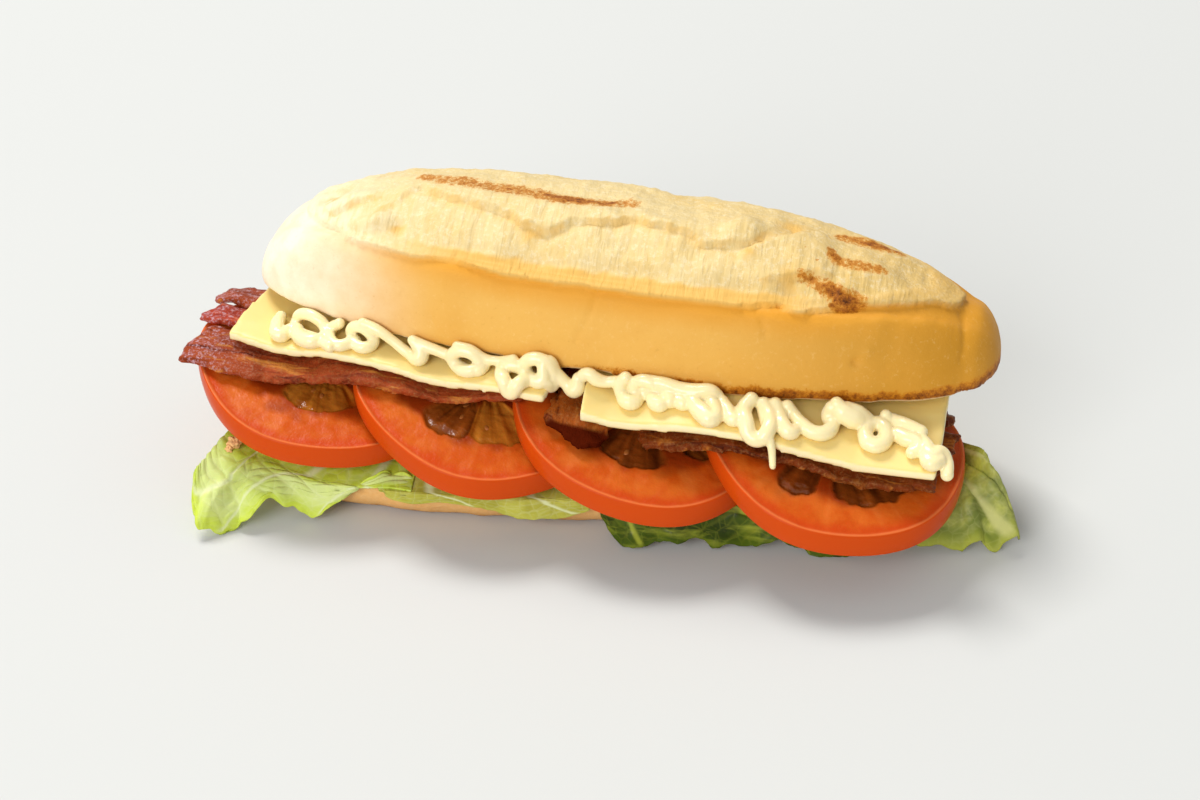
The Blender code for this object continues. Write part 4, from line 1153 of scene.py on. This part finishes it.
class SANDWICH_OT_crumbs(bpy.types.Operator):
    """Makes the bread crumbs on the left leaf"""

    bl_idname = "sandwich.crumbs"
    bl_label = "Crumbs"

    def execute(self, context):
        # Bread crumb: dry, matt and torn
        finish, tree, shader = new_material("dry_bread_crumb")
        fill(tree, shader, {"Base Color": linear("#EDB87A"), "Roughness": 0.9})
        bed = seen_from(["lettuce_left", "lettuce_middle", "bun_bottom"])
        shape = bmesh.new()
        for x, y, size in CRUMBS:
            top = bed.ray_cast(Vector((x, y, 0.1)), DOWN)[0]
            if top is None:
                raise RuntimeError("A crumb lies beside the leaf")
            ball = bmesh.ops.create_icosphere(shape, subdivisions=4, radius=size)["verts"]
            for vert in ball:
                vert.co *= 1 + 0.35 * ripple(vert.co + Vector((x, y, 0)), 0.6 * size, 3)
            bmesh.ops.translate(shape, verts=ball, vec=(x, y, top.z + 0.8 * size))
        made = new_object("bread_crumbs", shape, [finish])
        return {"FINISHED"}


PICTURE_WIDTH = 1200
FLOOR_HALF_WIDTH = 6
# Lamps: name, place, size, power and colour
LAMPS = (("window", (-1.50, 1.60, 3.60), 1.6, 142.0, "#FFFEFC"), ("fill", (-0.90, -2.4, 1.30), 1.6, 54.0, "#FFFFFF"))


def lay_floor(look):
    shape = bmesh.new()
    bmesh.ops.create_grid(shape, x_segments=1, y_segments=1, size=FLOOR_HALF_WIDTH)
    data = bpy.data.meshes.new("floor")
    shape.to_mesh(data)
    shape.free()
    # Matt painted board: plain and pale, so only the soft shadow shows on it
    finish, tree, shader = new_material("matt_pale_board")
    place = add(tree, "TexCoord").outputs["Object"]
    tone = coats(tree, look.floor, (clouds(tree, place, 1 / 3), linear("#D1D2CF")))
    fill(tree, shader, {"Base Color": tone, "Roughness": 0.9, "Specular IOR Level": 0.1})
    data.materials.append(finish)
    floor = bpy.data.objects.new("floor", data)
    bpy.context.scene.collection.objects.link(floor)


def set_lights():
    world = bpy.data.worlds.new("soft room")
    world.use_nodes = True
    fill(world.node_tree, world.node_tree.nodes["Background"], {"Color": linear("#F7F8FA"), "Strength": 0.44})
    bpy.context.scene.world = world
    for name, place, size, power, colour in LAMPS:
        lamp = bpy.data.lights.new(name, "AREA")
        lamp.size = size
        lamp.energy = power
        lamp.color = linear(colour)[:3]
        holder = bpy.data.objects.new(name, lamp)
        holder.location = place
        holder.rotation_euler = (-Vector(place)).to_track_quat("-Z", "Y").to_euler()
        bpy.context.scene.collection.objects.link(holder)


def set_camera(look):
    camera = bpy.data.cameras.new("camera")
    camera.lens = look.lens
    camera.sensor_width = 36
    # The sandwich stands a little right of the picture's middle and above it
    camera.shift_x = -28 / PICTURE_WIDTH
    camera.shift_y = -53 / PICTURE_WIDTH
    camera.clip_start = 0.01
    turn, tilt, roll = look.azimuth, look.elevation, math.radians(1)
    back = Vector((math.sin(turn) * math.cos(tilt), -math.cos(turn) * math.cos(tilt), math.sin(tilt)))
    right = Vector((math.cos(turn), math.sin(turn), 0))
    up = back.cross(right)
    across = right * math.cos(roll) + up * math.sin(roll)
    upward = up * math.cos(roll) - right * math.sin(roll)
    place = Matrix((across, upward, back)).transposed().to_4x4()
    place.translation = LAYOUT_ORIGIN + Vector((0, 0, 0.040)) + back * look.distance
    holder = bpy.data.objects.new("camera", camera)
    holder.matrix_world = place
    bpy.context.scene.collection.objects.link(holder)
    bpy.context.scene.camera = holder


class SANDWICH_OT_stage(bpy.types.Operator):
    """Makes the floor, the lights and the camera"""

    bl_idname = "sandwich.stage"
    bl_label = "Stage"

    def execute(self, context):
        look = context.scene.sandwich_stage
        lay_floor(look)
        set_lights()
        set_camera(look)
        context.scene.view_settings.view_transform = "Standard"
        return {"FINISHED"}


PIECES = (SANDWICH_OT_lower_roll, SANDWICH_OT_lettuce, SANDWICH_OT_tomatoes, SANDWICH_OT_bacon,
          SANDWICH_OT_cheese, SANDWICH_OT_mayonnaise, SANDWICH_OT_upper_roll, SANDWICH_OT_crumbs, SANDWICH_OT_stage)


class SANDWICH_PT_pieces(bpy.types.Panel):
    bl_label = "BLT sandwich"
    bl_idname = "SANDWICH_PT_pieces"
    bl_space_type = "VIEW_3D"
    bl_region_type = "UI"
    bl_category = "Sandwich"

    def draw(self, context):
        for group in ("sandwich_bread", "sandwich_filling", "sandwich_stage"):
            settings = getattr(context.scene, group)
            box = self.layout.box()
            for name in settings.__annotations__:
                box.prop(settings, name)
        for piece in PIECES:
            self.layout.operator(piece.bl_idname)


CLASSES = (BreadSettings, FillingSettings, StageSettings, *PIECES, SANDWICH_PT_pieces)


def register():
    for kind in CLASSES:
        bpy.utils.register_class(kind)
    bpy.types.Scene.sandwich_bread = bpy.props.PointerProperty(type=BreadSettings)
    bpy.types.Scene.sandwich_filling = bpy.props.PointerProperty(type=FillingSettings)
    bpy.types.Scene.sandwich_stage = bpy.props.PointerProperty(type=StageSettings)


def unregister():
    for name in ("sandwich_bread", "sandwich_filling", "sandwich_stage"):
        delattr(bpy.types.Scene, name)
    for kind in reversed(CLASSES):
        bpy.utils.unregister_class(kind)


def main():
    register()
    bpy.ops.sandwich.lower_roll()
    bpy.ops.sandwich.lettuce()
    bpy.ops.sandwich.tomatoes()
    bpy.ops.sandwich.bacon()
    bpy.ops.sandwich.cheese()
    bpy.ops.sandwich.mayonnaise()
    bpy.ops.sandwich.upper_roll()
    bpy.ops.sandwich.crumbs()
    bpy.ops.sandwich.stage()


if __name__ == "__main__":
    main()
